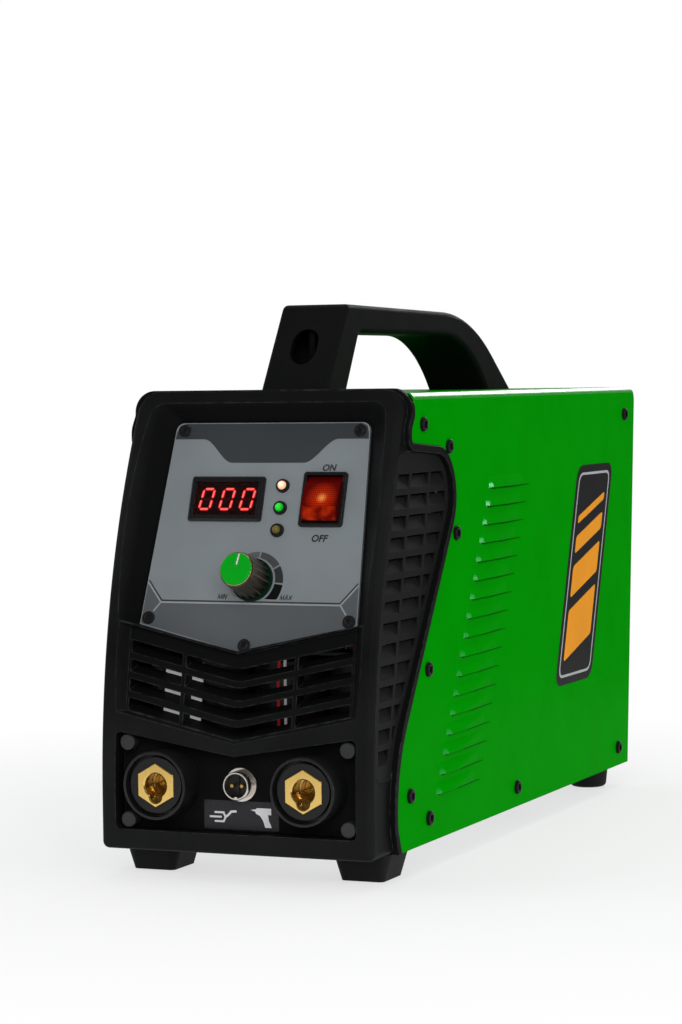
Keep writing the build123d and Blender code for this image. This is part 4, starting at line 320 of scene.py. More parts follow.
def glow(name, colour, core, centre, radius, base, strength):
    """Lit plastic: brighter round a point, dimmer away from it."""
    look = Look(name)
    look.set(Roughness=0.18, Specular_IOR_Level=0.5, Emission_Strength=strength)
    near = look.fade(look.vector("DISTANCE", look.coords, centre), 0.0, radius)
    look.into("Emission Color", look.mix(near, colour, core))
    speckle = look.noise(LENS_GRAIN)
    look.into("Base Color", look.mix(speckle, shade(base, LENS_SHADE), base))
    look.into("Normal", look.bump(speckle, *LENS_DENTS))
    return look.material


# Heights at which a finish changes: rim of the moulding over its recesses, which are painted darker as shade,
# brass face over the darker sides of its hexagon, green of the knob over its skirt, painted darker as shade,
# and the foot of each louvre end
SEAT_RISE = 4.0
SEAT = PLATE @ Matrix.Translation((0, 0, SEAT_RISE))
RIM_RISE = (3.0, 11.5)
BRASS_EDGE = CONTACT_FACE - 0.9
KNOB_SKIRT = 6.0
LOUVRE_GLOSS = (LOUVRE_FOOT - 0.3, LOUVRE_PITCH, 1.2, 3.8)

# Moulding: its recesses below the rim are painted darker as shade, and its edges are lightened partly as
# painted highlight
plastic = finish("moulded_plastic", (0.0105, 0.0106, 0.0108), 0.46, 1500.0, 0.35, 0.06, 0.18, 0.05,
                 level=0.03, round_edge=1.0, wear_and_highlight=1.0, wear_and_highlight_colour=(0.066, 0.067, 0.068),
                 deep=((PANEL, SEAT), *RIM_RISE, (0.0046, 0.0047, 0.0048)))
grille_plastic = finish("grille_plastic", (0.0095, 0.0096, 0.0098), 0.46, 1500.0, 0.35, 0.06, 0.18, 0.05,
                        level=0.03, round_edge=0.5, wear_and_highlight=0.6, wear_and_highlight_colour=(0.05, 0.051, 0.052))
handle_black = finish("handle_plastic", (0.0042, 0.0042, 0.0044), 0.58, 1300.0, 0.4, 0.07, 0.18, 0.05,
                      level=0.055, round_edge=0.5, wear_and_highlight=0.35, wear_and_highlight_colour=(0.026, 0.0265, 0.027))
green = green_coat("green_powder_coat", 0.0005, 0.3, 0.0015)
green_bend = green_coat("green_bend", 0.0005, 0.24, 0.4)
green_pressed = green_coat("green_pressed", 0.004, 0.22, 0.6, 0.9, LOUVRE_GLOSS)
plate = finish("printed_plate", (0.18, 0.2, 0.208), 0.42, 2200.0, 0.12, 0.03, 0.05, 0.04,
               level=0.4, round_edge=0.3)
band_ink = print_ink("print_dark_grey", (0.033, 0.037, 0.041))
foot_ink = print_ink("print_mid_grey", (0.08, 0.087, 0.094))
line_ink = print_ink("print_pale_grey", (0.25, 0.265, 0.275), dents=0.1)
text_ink = print_ink("print_black", (0.018, 0.019, 0.021), dents=0.1, tone=0.08)
white_ink = print_ink("print_white", (0.62, 0.62, 0.63), 0.4, 0.1)
gloss_black = finish("black_plastic", (0.008, 0.008, 0.0088), 0.3, 1800.0, 0.15, 0.03, 0.15, 0.05,
                     level=0.3, round_edge=0.35, wear_and_highlight=0.2, wear_and_highlight_colour=(0.04, 0.04, 0.042))
socket_black = finish("socket_plastic", (0.009, 0.0092, 0.0097), 0.36, 1700.0, 0.2, 0.04, 0.15, 0.05,
                      level=0.3, round_edge=0.5, wear_and_highlight=0.9, wear_and_highlight_colour=(0.08, 0.08, 0.082))
# Panel caps: a lighter copy of the socket plastic, the extra lightness a painted sheen
cap_black = finish("cap_plastic", (0.024, 0.0243, 0.025), 0.4, 1700.0, 0.2, 0.04, 0.15, 0.05,
                   level=0.4, round_edge=0.5, wear_and_highlight=0.5, wear_and_highlight_colour=(0.07, 0.07, 0.072))
rubber = finish("foot_rubber", (0.008, 0.008, 0.0085), 0.62, 1100.0, 0.4, 0.08, 0.2, 0.06,
                level=0.1, round_edge=0.6, wear_and_highlight=0.3, wear_and_highlight_colour=(0.035, 0.035, 0.036))
black_steel = finish("blackened_steel", (0.007, 0.007, 0.0078), 0.32, 2000.0, 0.15, 0.03, 0.2, 0.06,
                     level=0.08, round_edge=0.25, wear_and_highlight=0.5, wear_and_highlight_colour=(0.07, 0.07, 0.072))
# Plate screws: the blackened steel again, glossier, with stronger edge lightening that is partly painted
# highlight
plate_steel = finish("blackened_plate_steel", (0.009, 0.009, 0.0098), 0.32, 2000.0, 0.15, 0.03, 0.2, 0.06,
                     level=0.35, round_edge=0.25, wear_and_highlight=0.8, wear_and_highlight_colour=(0.09, 0.09, 0.092))
zinc = finish("zinc_plate", (0.55, 0.56, 0.57), 0.34, 300.0, 0.1, 0.03, 0.12, 0.08,
              metal=1.0, round_edge=0.25)
zinc_sheet = finish("galvanised_sheet", (0.5, 0.51, 0.52), 0.42, 140.0, 0.08, 0.03, 0.2, 0.1,
                    metal=1.0, round_edge=0.3)
nickel = finish("nickel_plate", (0.66, 0.61, 0.56), 0.17, 2600.0, 0.06, 0.02, 0.06, 0.05,
                metal=1.0, round_edge=0.2)
brass = finish("turned_brass", (0.9, 0.61, 0.18), 0.22, 2600.0, 0.12, 0.03, 0.1, 0.06,
               metal=1.0, round_edge=0.4, wear_and_highlight=0.8, wear_and_highlight_colour=(1.0, 0.86, 0.55),
               over=(PANEL, BRASS_EDGE, (0.58, 0.38, 0.12)))
# Knob: its green skirt below a height over the plate is painted darker, as painted shade
knob_green = finish("knob_green", (0.0, 0.29, 0.008), 0.34, 1900.0, 0.12, 0.03, 0.06, 0.04,
                    level=0.15, round_edge=0.3, wear_and_highlight=0.9, wear_and_highlight_colour=(0.6, 0.55, 0.28),
                    over=(PLATE, KNOB_SKIRT, (0.0, 0.014, 0.006)))
knob_metal = finish("knob_sleeve_metal", (0.24, 0.195, 0.15), 0.34, 1500.0, 0.12, 0.03, 0.12, 0.06,
                    metal=1.0, round_edge=0.25)
knob_gold = finish("knob_trim_metal", (0.78, 0.66, 0.36), 0.24, 2200.0, 0.08, 0.02, 0.08, 0.05,
                   metal=1.0, round_edge=0.15)
dark_sheet = finish("dark_powder_coat", (0.018, 0.0185, 0.02), 0.45, 800.0, 0.3, 0.06, 0.12, 0.05,
                    level=0.4, round_edge=0.4, wear_and_highlight=0.3, wear_and_highlight_colour=(0.05, 0.05, 0.052))
can_sleeve = finish("can_sleeve", (0.02, 0.021, 0.024), 0.32, 500.0, 0.1, 0.04, 0.1, 0.05)
board = finish("board_lacquer", (0.004, 0.035, 0.014), 0.35, 700.0, 0.15, 0.04, 0.2, 0.06)
chips = finish("chip_plastic", (0.014, 0.014, 0.016), 0.5, 1500.0, 0.2, 0.04)
iron = finish("core_laminations", (0.1, 0.1, 0.105), 0.5, 700.0, 0.4, 0.1, 0.2, 0.08,
              metal=0.7, stretch=(0.1, 3.0, 0.1))
tape = finish("coil_tape", (0.55, 0.42, 0.08), 0.4, 300.0, 0.2, 0.06, 0.15, 0.06)
extrusion = finish("heatsink_aluminium", (0.6, 0.61, 0.62), 0.38, 900.0, 0.15, 0.04, 0.1, 0.06,
                   metal=1.0, stretch=(1.0, 0.05, 1.0))
# White strip and relay, red leads and white wire glow a little: painted light for things deep inside the case
strip_white = finish("strip_white", (0.5, 0.5, 0.49), 0.5, 900.0, 0.15, 0.04, 0.06, 0.05, lift=0.35)
lead_red = finish("lead_red", (0.4, 0.008, 0.01), 0.42, 1200.0, 0.2, 0.05, lift=0.25)
lead_black = finish("lead_black", (0.014, 0.014, 0.015), 0.42, 1200.0, 0.2, 0.05)
wire_white = finish("wire_white", (0.62, 0.62, 0.62), 0.4, 1200.0, 0.15, 0.04, lift=0.2)
orange_ink = decal_ink("decal_orange", (0.72, 0.27, 0.012))
decal_black = decal_ink("decal_black", (0.008, 0.008, 0.009), 0.1)
decal_grey = decal_ink("decal_grey", (0.36, 0.37, 0.38))
# Dark green of the film painted as shadow under the louvres
slit_shadow_green = finish("slit_shadow", (0.0, 0.05, 0.0), 0.5, 900.0, 0.1, 0.04, 0.1, 0.04,
                    level=0.01, round_edge=0.0)
label_dark = finish("label_dark", (0.02, 0.0185, 0.021), 0.3, 1500.0, 0.1, 0.03, 0.1, 0.04,
                    level=0.25, round_edge=0.0)

FINISHES = {
    plastic: ("front_bezel", "socket_panel"),
    grille_plastic: ("side_grille_left", "side_grille_right"),
    handle_black: ("handle",),
    green: ("cover",),
    black_steel: ("cover_screws", "plate_screws", "handle_screws", "fan_screws"),
    plate: ("control_plate",),
    gloss_black: ("meter_housing", "lamp_holders", "switch_body", "connector_insert", "thyristor"),
    cap_black: ("panel_caps",),
    socket_black: ("socket_body_left", "socket_body_right", "socket_nuts", "fan_frame",
                   "fan_rotor", "cable_gland", "gland_nut"),
    zinc: ("potentiometer", "pot_nut", "pot_shaft", "foot_screws", "bank_screws"),
    knob_green: ("knob_core",),
    knob_metal: ("knob_sleeve",),
    brass: ("socket_contact_left", "socket_contact_right", "connector_pins", "lead_lugs", "board_posts"),
    nickel: ("connector_shell", "connector_nut"),
    zinc_sheet: ("base_tray",),
    dark_sheet: ("rear_panel",),
    rubber: ("front_feet", "rear_feet"),
    can_sleeve: ("capacitors",),
    board: ("bank_board", "control_board"),
    chips: ("board_parts",),
    iron: ("transformer_core",),
    tape: ("transformer_coil",),
    extrusion: ("heatsink",),
    strip_white: ("insulating_strip", "charge_relay"),
    lead_red: ("weld_lead_red", "trigger_wire_red"),
    lead_black: ("weld_lead_black",),
    wire_white: ("trigger_wire_white",),
}


def dress(obj, material):
    obj.data.materials.clear()
    obj.data.materials.append(material)


for material, names in FINISHES.items():
    for name in names:
        dress(NODES[name], material)


# The louvre ends and the long bends of the cover, stretched in forming, are glossier than its flat sheet
LOUVRE_RISE = 0.1
LOUVRE_END_SLOPE = 0.15
BEND_DROP = 5.0
BEND_SLOPE = 0.05
cover_mesh = NODES["cover"].data
cover_mesh.materials.append(green_pressed)
cover_mesh.materials.append(green_bend)
for face in cover_mesh.polygons:
    centre, normal = face.center, face.normal
    louvre_end = abs(centre.x) > (COVER_HALF + LOUVRE_RISE) * MM and normal.y < -LOUVRE_END_SLOPE
    high = centre.z > (COVER_TOP_Z - BEND_DROP) * MM
    bend = high and abs(normal.x) > BEND_SLOPE and normal.z > BEND_SLOPE
    face.material_index = 1 if louvre_end else 2 if bend else 0


# Building helpers
INK_OFF = 0.04
INK_THICK = 0.03
WORD_SLANT = 0.2
MITRE_LIMIT = 0.3
SHARP_ANGLE = radians(32.0)


def add_piece(name, mesh, material, body="case", stands_for=()):
    obj = bpy.data.objects.new(name, mesh)
    bpy.context.scene.collection.objects.link(obj)
    dress(obj, material)
    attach(obj, body)
    if stands_for:
        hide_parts(*stands_for)
    return obj


def mesh_of(curve):
    """Plain mesh of a curve or a line of text."""
    holder = bpy.data.objects.new("holder", curve)
    bpy.context.scene.collection.objects.link(holder)
    ready = holder.evaluated_get(bpy.context.evaluated_depsgraph_get())
    mesh = bpy.data.meshes.new_from_object(ready)
    mesh.shade_flat()
    bpy.data.objects.remove(holder)
    bpy.data.curves.remove(curve)
    return mesh


def ink(name, place, loops, material, off=INK_OFF, thick=INK_THICK, body="case"):
    """Flat film for print and for painted shadow: closed loops on a face, inner loops left open."""
    curve = bpy.data.curves.new(name, "CURVE")
    curve.dimensions = "2D"
    curve.fill_mode = "BOTH"
    curve.extrude = thick / 2
    for loop in loops:
        spline = curve.splines.new("POLY")
        spline.points.add(len(loop) - 1)
        for point, (x, y) in zip(spline.points, loop):
            point.co = (x, y, 0, 1)
        spline.use_cyclic_u = True
    mesh = mesh_of(curve)
    mesh.transform(place @ Matrix.Translation((0, 0, off)))
    return add_piece(name, mesh, material, body)


def lettering(name, place, words, at, size, material, weight):
    """Word of print, centred on a point of a face."""
    curve = bpy.data.curves.new(name, "FONT")
    curve.body = words
    curve.size = size
    curve.align_x = "CENTER"
    curve.align_y = "CENTER"
    curve.extrude = INK_THICK / 2
    curve.offset = weight * size
    curve.shear = WORD_SLANT
    mesh = mesh_of(curve)
    mesh.transform(place @ Matrix.Translation((at[0], at[1], INK_OFF)))
    return add_piece(name, mesh, material, "case")


def circle(x, y, radius, count=40):
    turns = [2 * pi * i / count for i in range(count)]
    return [(x + radius * cos(turn), y + radius * sin(turn)) for turn in turns]


def box_loop(x0, y0, x1, y1):
    return [(x0, y0), (x1, y0), (x1, y1), (x0, y1)]


def stroke(points, width):
    """Outline of a mitred line of even width."""
    left, right = [], []
    for i, point in enumerate(points):
        here = Vector(point)
        into = (here - Vector(points[i - 1])).normalized() if i else None
        out = (Vector(points[i + 1]) - here).normalized() if i + 1 < len(points) else None
        into = into or out
        out = out or into
        side = Vector((-(into + out).y, (into + out).x)).normalized()
        reach = width / 2 / max(MITRE_LIMIT, side.dot(Vector((-into.y, into.x))))
        left.append(tuple(here + side * reach))
        right.append(tuple(here - side * reach))
    return left + right[::-1]


def rounded(points, radius, steps=6):
    """Closed outline with its corners rounded."""
    loop = []
    count = len(points)
    for i, point in enumerate(points):
        here = Vector(point)
        back = Vector(points[i - 1]) - here
        ahead = Vector(points[(i + 1) % count]) - here
        reach = min(radius, back.length / 2, ahead.length / 2)
        start = here + back.normalized() * reach
        end = here + ahead.normalized() * reach
        for k in range(steps + 1):
            t = k / steps
            loop.append(tuple(start * (1 - t) ** 2 + here * 2 * t * (1 - t) + end * t ** 2))
    return loop


def ring(radius, z, count=36):
    return [(x, y, z) for x, y in circle(0, 0, radius, count)]


def hexagon(flat, z, count=36):
    """Loop of points round a hexagon of a given half width."""
    loop = []
    for i in range(count):
        angle = 2 * pi * i / count
        near = (angle + pi / 6) % (pi / 3) - pi / 6
        loop.append((flat / cos(near) * cos(angle), flat / cos(near) * sin(angle), z))
    return loop


def skin(name, loops, places):
    """Mesh of closed loops joined in turn and capped at both ends, repeated at places."""
    build = bmesh.new()
    for place in places:
        rows = [[build.verts.new(place @ Vector(point)) for point in loop] for loop in loops]
        for low, high in zip(rows, rows[1:]):
            for i in range(len(low)):
                j = (i + 1) % len(low)
                build.faces.new((low[i], low[j], high[j], high[i]))
        build.faces.new(rows[0][::-1])
        build.faces.new(rows[-1])
    mesh = bpy.data.meshes.new(name)
    build.to_mesh(mesh)
    build.free()
    mesh.set_sharp_from_angle(angle=SHARP_ANGLE)
    return mesh


def at_angle(place, u, v, angle):
    """Frame at a point of a face, turned about the way out of the face."""
    return place @ Matrix.Translation((u, v, 0)) @ Matrix.Rotation(angle, 4, "Z")


# Screw heads: pairs of radius and height round each head, then half width and height of its hexagon socket
PLATE_HEAD = (
    (2.0, -0.4), (PLATE_SCREW_HEAD - 0.25, -0.05), (PLATE_SCREW_HEAD, 0.2), (PLATE_SCREW_HEAD, 0.75),
    (PLATE_SCREW_HEAD - 0.12, 0.95), (PLATE_SCREW_HEAD - 0.4, 1.05), (2.25, 1.05), (2.1, 0.95),
)
PLATE_HEX = ((1.5, 0.9), (1.45, -0.2))
COVER_HEAD = (
    (2.0, -0.3), (SCREW_HEAD - 0.1, 0.0), (SCREW_HEAD, 0.2), (SCREW_HEAD, 1.35), (SCREW_HEAD - 0.12, 1.7),
    (SCREW_HEAD - 0.4, 2.02), (SCREW_HEAD - 0.9, 2.2), (2.7, 2.2), (2.55, 2.1),
)
COVER_HEX = ((1.95, 1.95), (1.9, 0.6))
PLATE_HEAD_TURN = 0.4
COVER_HEAD_TURN = 0.7


def screw_heads(name, head, socket, places, material, stands_for):
    loops = [ring(radius, z) for radius, z in head] + [hexagon(flat, z) for flat, z in socket]
    add_piece(name, skin(name, loops, places), material, stands_for=stands_for)


plate_places = [at_angle(PLATE, u, v, PLATE_HEAD_TURN * i) for i, (u, v) in enumerate(PLATE_SCREWS)]
cover_places = []
for side, sign in ((RIGHT, 1), (LEFT, -1)):
    for i, (depth, height) in enumerate(SIDE_SCREWS):
        cover_places.append(at_angle(side, sign * depth, height, COVER_HEAD_TURN * i))
screw_heads("plate_screw_heads", PLATE_HEAD, PLATE_HEX, plate_places, plate_steel, ("plate_screws",))
screw_heads("cover_screw_heads", COVER_HEAD, COVER_HEX, cover_places, black_steel, ("cover_screws",))


# Brass contacts: chamfered hexagon, keyhole mouth and a wider lock groove behind it
BORE = 6.7
KEY = (3.6, 6.2)
ROUND = 144
CONTACT_OUTSIDE = ((10.6, 1.0), (11.0, 1.4), (11.0, CONTACT_FACE - 0.5), (10.5, CONTACT_FACE))
CONTACT_MOUTH = ((0.7, 0.0), (0.0, 0.7), (0.0, 5.5))
CONTACT_GROOVE = ((7.6, 5.8), (7.6, 11.0), (6.2, 11.3), (6.2, 26.0), (2.0, 27.5))


def keyhole(grow, z, count=ROUND):
    """Loop of points round a bore with a key slot at its foot."""
    loop = []
    for i in range(count):
        angle = 2 * pi * i / count
        way = Vector((cos(angle), sin(angle)))
        reach = BORE + grow
        edge = KEY[0] + grow
        across = abs(way.x) * KEY[1]
        if way.y < 0 and across < edge:
            reach = max(reach, -way.y * KEY[1] + (edge * edge - across * across) ** 0.5)
            if abs(way.x) * reach > edge:
                reach = max(BORE + grow, edge / abs(way.x))
        loop.append((reach * way.x, reach * way.y, z))
    return loop


contact = [hexagon(flat, z, ROUND) for flat, z in CONTACT_OUTSIDE]
contact += [keyhole(grow, CONTACT_FACE - below) for grow, below in CONTACT_MOUTH]
contact += [ring(radius, CONTACT_FACE - below, ROUND) for radius, below in CONTACT_GROOVE]
for sign, name in SIDES:
    spot = PANEL @ Matrix.Translation((sign * SOCKET_AT[0], SOCKET_AT[1], 0))
    add_piece("contact_face_" + name, skin("contact_face_" + name, contact, [spot]), brass,
              stands_for=("socket_contact_" + name,))


# Print on the control plate
def plate_side(v):
    """Half width of the plate at a height."""
    share = (v - PLATE_SHOULDER) / (PLATE_HEIGHT - PLATE_SHOULDER)
    return PLATE_LOW_HALF + (PLATE_TOP_HALF - PLATE_LOW_HALF) * share


PRINT_EDGE = 0.5
BAND_TOP = PLATE_HEIGHT - PRINT_EDGE
BAND_Z = 126.2
BAND_DIP = 14.2
BAND_TURN = (42.0, 22.4)
BAND_STEPS = 12
BAND_CORNER = 5.0
BAND_CUT = 1.4
SCREW_GAP = 0.15
half_band = []
for i in range(BAND_STEPS + 1):
    t = i / BAND_STEPS
    u = BAND_TURN[1] + (BAND_TURN[0] - BAND_TURN[1]) * t
    half_band.append((u, BAND_Z - BAND_DIP * (1 - t * t * (3 - 2 * t))))
half_band += [
    (plate_side(BAND_Z) - PRINT_EDGE, BAND_Z),
    (plate_side(BAND_TOP) - PRINT_EDGE, BAND_TOP - BAND_CORNER),
    (plate_side(BAND_TOP) - PRINT_EDGE - BAND_CUT, BAND_TOP - BAND_CUT),
    (plate_side(BAND_TOP) - BAND_CORNER, BAND_TOP),
]
band = [(-u, v) for u, v in half_band[::-1]] + half_band
screw_holes = [circle(u, v, PLATE_SCREW_HEAD + SCREW_GAP) for u, v in PLATE_SCREWS]
ink("plate_print_top", PLATE, [band] + screw_holes[:2], band_ink)

FOOT_LINE = [(-64.9, 41.0), (-55.3, 29.4), (55.3, 29.4), (64.9, 41.0)]
FOOT_SHOULDER = 16.6
LINE_WIDTH = 0.9
DARK_LINE = (0.994, 0.75, 0.05)
PALE_LINE = (1.0, -0.35, 0.08)
CORNER_LINE = ((55.4, 29.0), (59.4, 23.6))
foot_half = plate_side(FOOT_SHOULDER) - PRINT_EDGE
foot_loop = FOOT_LINE + [(foot_half, FOOT_SHOULDER), (0, PRINT_EDGE), (-foot_half, FOOT_SHOULDER)]
ink("plate_print_foot", PLATE, [foot_loop] + screw_holes[2:], foot_ink)
for name, material, (draw_in, rise, off) in (("dark", band_ink, DARK_LINE), ("pale", line_ink, PALE_LINE)):
    line = stroke([(u * draw_in, v + rise) for u, v in FOOT_LINE], LINE_WIDTH)
    ink("plate_print_line_" + name, PLATE, [line], material, off)
for sign, name in SIDES:
    line = stroke([(sign * u, v) for u, v in CORNER_LINE], LINE_WIDTH)
    ink("plate_print_corner_" + name, PLATE, [line], line_ink, PALE_LINE[2])

# Dial round the knob, a tapering arc in steps, cut level above the foot line
DIAL_STEPS = (228.0, 179.0, 130.0, 81.0, 31.0, -5.5, -53.7)
DIAL_CUT = 31.8
DIAL_INNER = 13.4
DIAL_OUTER = (14.2, 19.4)
DIAL_GAP = 1.6
DIAL_TONES = (0.16, 0.125, 0.088, 0.052, 0.027, 0.004)
DIAL_TINT = (1.0, 1.05, 1.08)
DIAL_POINTS = 16


def dial_point(radius, angle):
    turn = radians(angle)
    return (KNOB_AT[0] + radius * cos(turn), max(DIAL_CUT, KNOB_AT[1] + radius * sin(turn)))


for step, tone in enumerate(DIAL_TONES):
    start, end = DIAL_STEPS[step] - DIAL_GAP, DIAL_STEPS[step + 1] + DIAL_GAP
    outer, inner = [], []
    for i in range(DIAL_POINTS + 1):
        angle = start + (end - start) * i / DIAL_POINTS
        share = (DIAL_STEPS[0] - angle) / (DIAL_STEPS[0] - DIAL_STEPS[-1])
        outer.append(dial_point(DIAL_OUTER[0] + (DIAL_OUTER[1] - DIAL_OUTER[0]) * share, angle))
        inner.append(dial_point(DIAL_INNER, angle))
    tone_ink = print_ink("dial_ink_%d" % step, tuple(tone * tint for tint in DIAL_TINT), level=0.15)
    ink("dial_step_%d" % step, PLATE, [outer + inner[::-1]], tone_ink)

# Small words drawn stroke by stroke, so that they stay open at this size
STROKES = {
    "M": (0.9, [[(0.0, 0.0), (0.0, 1.0), (0.45, 0.15), (0.9, 1.0), (0.9, 0.0)]]),
    "I": (0.0, [[(0.0, 0.0), (0.0, 1.0)]]),
    "N": (0.7, [[(0.0, 0.0), (0.0, 1.0), (0.7, 0.0), (0.7, 1.0)]]),
    "A": (0.8, [[(0.0, 0.0), (0.4, 1.0), (0.8, 0.0)], [(0.245, 0.3), (0.555, 0.3)]]),
    "X": (0.7, [[(0.0, 1.0), (0.225, 0.5), (0.0, 0.0)], [(0.7, 1.0), (0.475, 0.5), (0.7, 0.0)]]),
}
SMALL_HEIGHT = 2.7
SMALL_WIDTH = 0.5
SMALL_NARROW = 0.8
SMALL_SPACE = 0.36
WORD_WEIGHT = 0.032


def small_word(word, start):
    """Loops of a word set out from a point at its foot."""
    loops, u = [], 0.0
    for letter in word:
        width, lines = STROKES[letter]
        for line in lines:
            points = [(start[0] + ((u + x) * SMALL_NARROW + WORD_SLANT * y) * SMALL_HEIGHT,
                       start[1] + y * SMALL_HEIGHT) for x, y in line]
            loops.append(stroke(points, SMALL_WIDTH))
        u += width + SMALL_SPACE
    return loops


ink("dial_min", PLATE, small_word("MIN", (-20.1, 31.6)), text_ink)
ink("dial_max", PLATE, small_word("MAX", (18.3, 31.6)), text_ink)
lettering("switch_on", PLATE, "ON", (38.2, 108.9), 5.2, text_ink, WORD_WEIGHT)
lettering("switch_off", PLATE, "OFF", (37.4, 67.4), 5.5, text_ink, WORD_WEIGHT)

# Meter digits on a block behind the pane
DIGIT = (8.3, 13.6)
DIGIT_PITCH = 12.7
DIGIT_LEAN = radians(10.0)
SEGMENT = 1.7
SEGMENT_GAP = 0.35
CORE = (0.85, 0.75)
CORNER_X = DIGIT[0] / 2 - SEGMENT / 2
CORNER_Y = DIGIT[1] / 2 - SEGMENT / 2
CORNERS = [(-CORNER_X, CORNER_Y), (CORNER_X, CORNER_Y), (CORNER_X, 0),
           (CORNER_X, -CORNER_Y), (-CORNER_X, -CORNER_Y), (-CORNER_X, 0)]
LIT_BARS = [(0, 1), (1, 2), (2, 3), (3, 4), (4, 5), (5, 0)]
DARK_BAR = (5, 2)
DIGIT_GRAIN = 700.0
DISPLAY_MARGIN = 1.0
PANE_HAZE = (60.0, 4.0)
PANE_ROUGH = (0.0, 0.025)


def segment(start, end, width=SEGMENT, gap=SEGMENT_GAP):
    """One bar of a digit with pointed ends."""
    a, b = Vector(start), Vector(end)
    along = (b - a).normalized()
    side = Vector((-along.y, along.x)) * width / 2
    a += along * gap
    b -= along * gap
    tip = along * width / 2
    return [tuple(p) for p in (a, a + tip + side, b - tip + side, b, b - tip - side, a + tip - side)]


def digit_bar(column, bar, *size):
    """One bar of the digit in a column, leaning with it."""
    return [(METER_AT[0] + column * DIGIT_PITCH + x + y * tan(DIGIT_LEAN), METER_AT[1] + y)
            for x, y in segment(CORNERS[bar[0]], CORNERS[bar[1]], *size)]


lit_loops, core_loops, dark_loops = [], [], []
for column in (-1, 0, 1):
    for bar in LIT_BARS:
        lit_loops.append(digit_bar(column, bar))
        core_loops.append(digit_bar(column, bar, *CORE))
    dark_loops.append(digit_bar(column, DARK_BAR))
digit_red = Look("digit_red").set(
    Base_Color=(0.25, 0.01, 0.01), Roughness=0.4, Emission_Color=(1.0, 0.06, 0.05), Emission_Strength=1.5
)
red_share = digit_red.span(digit_red.noise(DIGIT_GRAIN), 0.0, 1.0)
digit_red.into("Emission Color", digit_red.mix(red_share, (1.0, 0.04, 0.035), (1.0, 0.11, 0.09)))
digit_core = Look("digit_core").set(Base_Color=(0.4, 0.1, 0.1), Roughness=0.4, Emission_Strength=2.4)
core_share = digit_core.noise(DIGIT_GRAIN)
digit_core.into("Emission Color", digit_core.mix(core_share, (1.0, 0.6, 0.55), (1.0, 0.85, 0.8)))
digit_dark = finish("digit_dark", (0.03, 0.006, 0.006), 0.4, 1500.0, 0.1, 0.02, round_edge=0.0)
display_black = finish("display_black", (0.002, 0.0015, 0.0015), 0.6, 1500.0, 0.1, 0.02,
                       level=0.02, round_edge=0.0)
half_x, half_y = (size / 2 - DISPLAY_MARGIN for size in METER_VIEW)
display = box_loop(METER_AT[0] - half_x, METER_AT[1] - half_y, METER_AT[0] + half_x, METER_AT[1] + half_y)
# Each layer: loops, material, how far its middle lies below the meter's face, thickness, slot
DISPLAY_LAYERS = {
    "display_block": ([display], display_black, 3.3, 5.0, "black_plastic"),
    "display_digits": (lit_loops, digit_red.material, 0.65, 0.25, "lamp_amber"),
    "display_digit_cores": (core_loops, digit_core.material, 0.48, 0.06, "lamp_amber"),
    "display_digits_unlit": (dark_loops, digit_dark, 0.7, 0.15, "black_plastic"),
}
for name, (loops, material, below, thick, slot) in DISPLAY_LAYERS.items():
    ink(name, PLATE, loops, material, METER_FACE - below, thick)
pane = Look("smoked_pane").set(
    Base_Color=(0.5, 0.12, 0.12), Roughness=0.06, IOR=1.3, Transmission_Weight=1.0, Specular_IOR_Level=0.3
)
pane.into("Roughness", pane.span(pane.noise(*PANE_HAZE), *PANE_ROUGH))
dress(NODES["meter_window"], pane.material)

# Lamps: name, colour, colour of the core, colour of the plastic, strength
LAMP_GLOW = (
    ("lamp_amber", (0.9, 0.3, 0.13), (1.0, 0.85, 0.72), (0.8, 0.45, 0.3), 1.0),
    ("lamp_green", (0.0, 0.3, 0.008), (0.03, 0.85, 0.05), (0.0, 0.3, 0.01), 0.85),
    ("lamp_yellow", (0.03, 0.026, 0.003), (0.1, 0.085, 0.012), (0.12, 0.1, 0.014), 0.3),
)
LAMP_REACH = 2.6
for (name, colour, core, base, strength), (u, v) in zip(LAMP_GLOW, LAMPS):
    tip = PLATE @ Vector((u, v, LAMP_TIP))
    dress(NODES[name], glow(name + "_lens", colour, core, tip, LAMP_REACH, base, strength))

# Rocker, lit from inside: prism pattern round a hot spot, plain lens below the fold
SWITCH = PLATE @ Matrix.Translation((SWITCH_AT[0], SWITCH_AT[1], 0))
PRISM_PITCH = 2.3
FACETS = (0.2, 1.0, -0.8, 0.8)
HOT_FACETS = (0.55, 1.0, 0.2, 1.0)
LENS_PATCHES = (170.0, 1.0)
PATCH_SPAN = (0.0, 1.0, 0.35, 0.65)
HOT_SPOT = (1.0, -0.8, 4.0)
HOT_REACH = (0.3, 4.4)
WARM_REACH = (1.5, 10.5)
FOLD = (-5.9, -5.3)
RIM_ACROSS = (9.0, 10.8)
RIM_UP = (10.0, 12.6)
rocker = Look("rocker_red").set(Roughness=0.2, Specular_IOR_Level=0.1, Emission_Strength=1.0)
across = rocker.along(SWITCH, (1, 0, 0))
up = rocker.along(SWITCH, (0, 1, 0))
waves = []
for operation in ("ADD", "SUBTRACT"):
    turn = rocker.math("MULTIPLY", rocker.math(operation, across, up), 2 * pi / (PRISM_PITCH * MM))
    waves.append(rocker.math("SINE", turn, 0.0))
prism = rocker.math("MULTIPLY", *waves)
facets = rocker.span(prism, *FACETS)
reach = rocker.vector("DISTANCE", rocker.coords, SWITCH @ Vector(HOT_SPOT))
hot = rocker.fade(reach, *HOT_REACH)
warm = rocker.fade(reach, *WARM_REACH)
upper = rocker.mix(rocker.math("MULTIPLY", warm, facets), (0.028, 0.0, 0.0), (0.7, 0.034, 0.001))
hot_facets = rocker.span(facets, *HOT_FACETS)
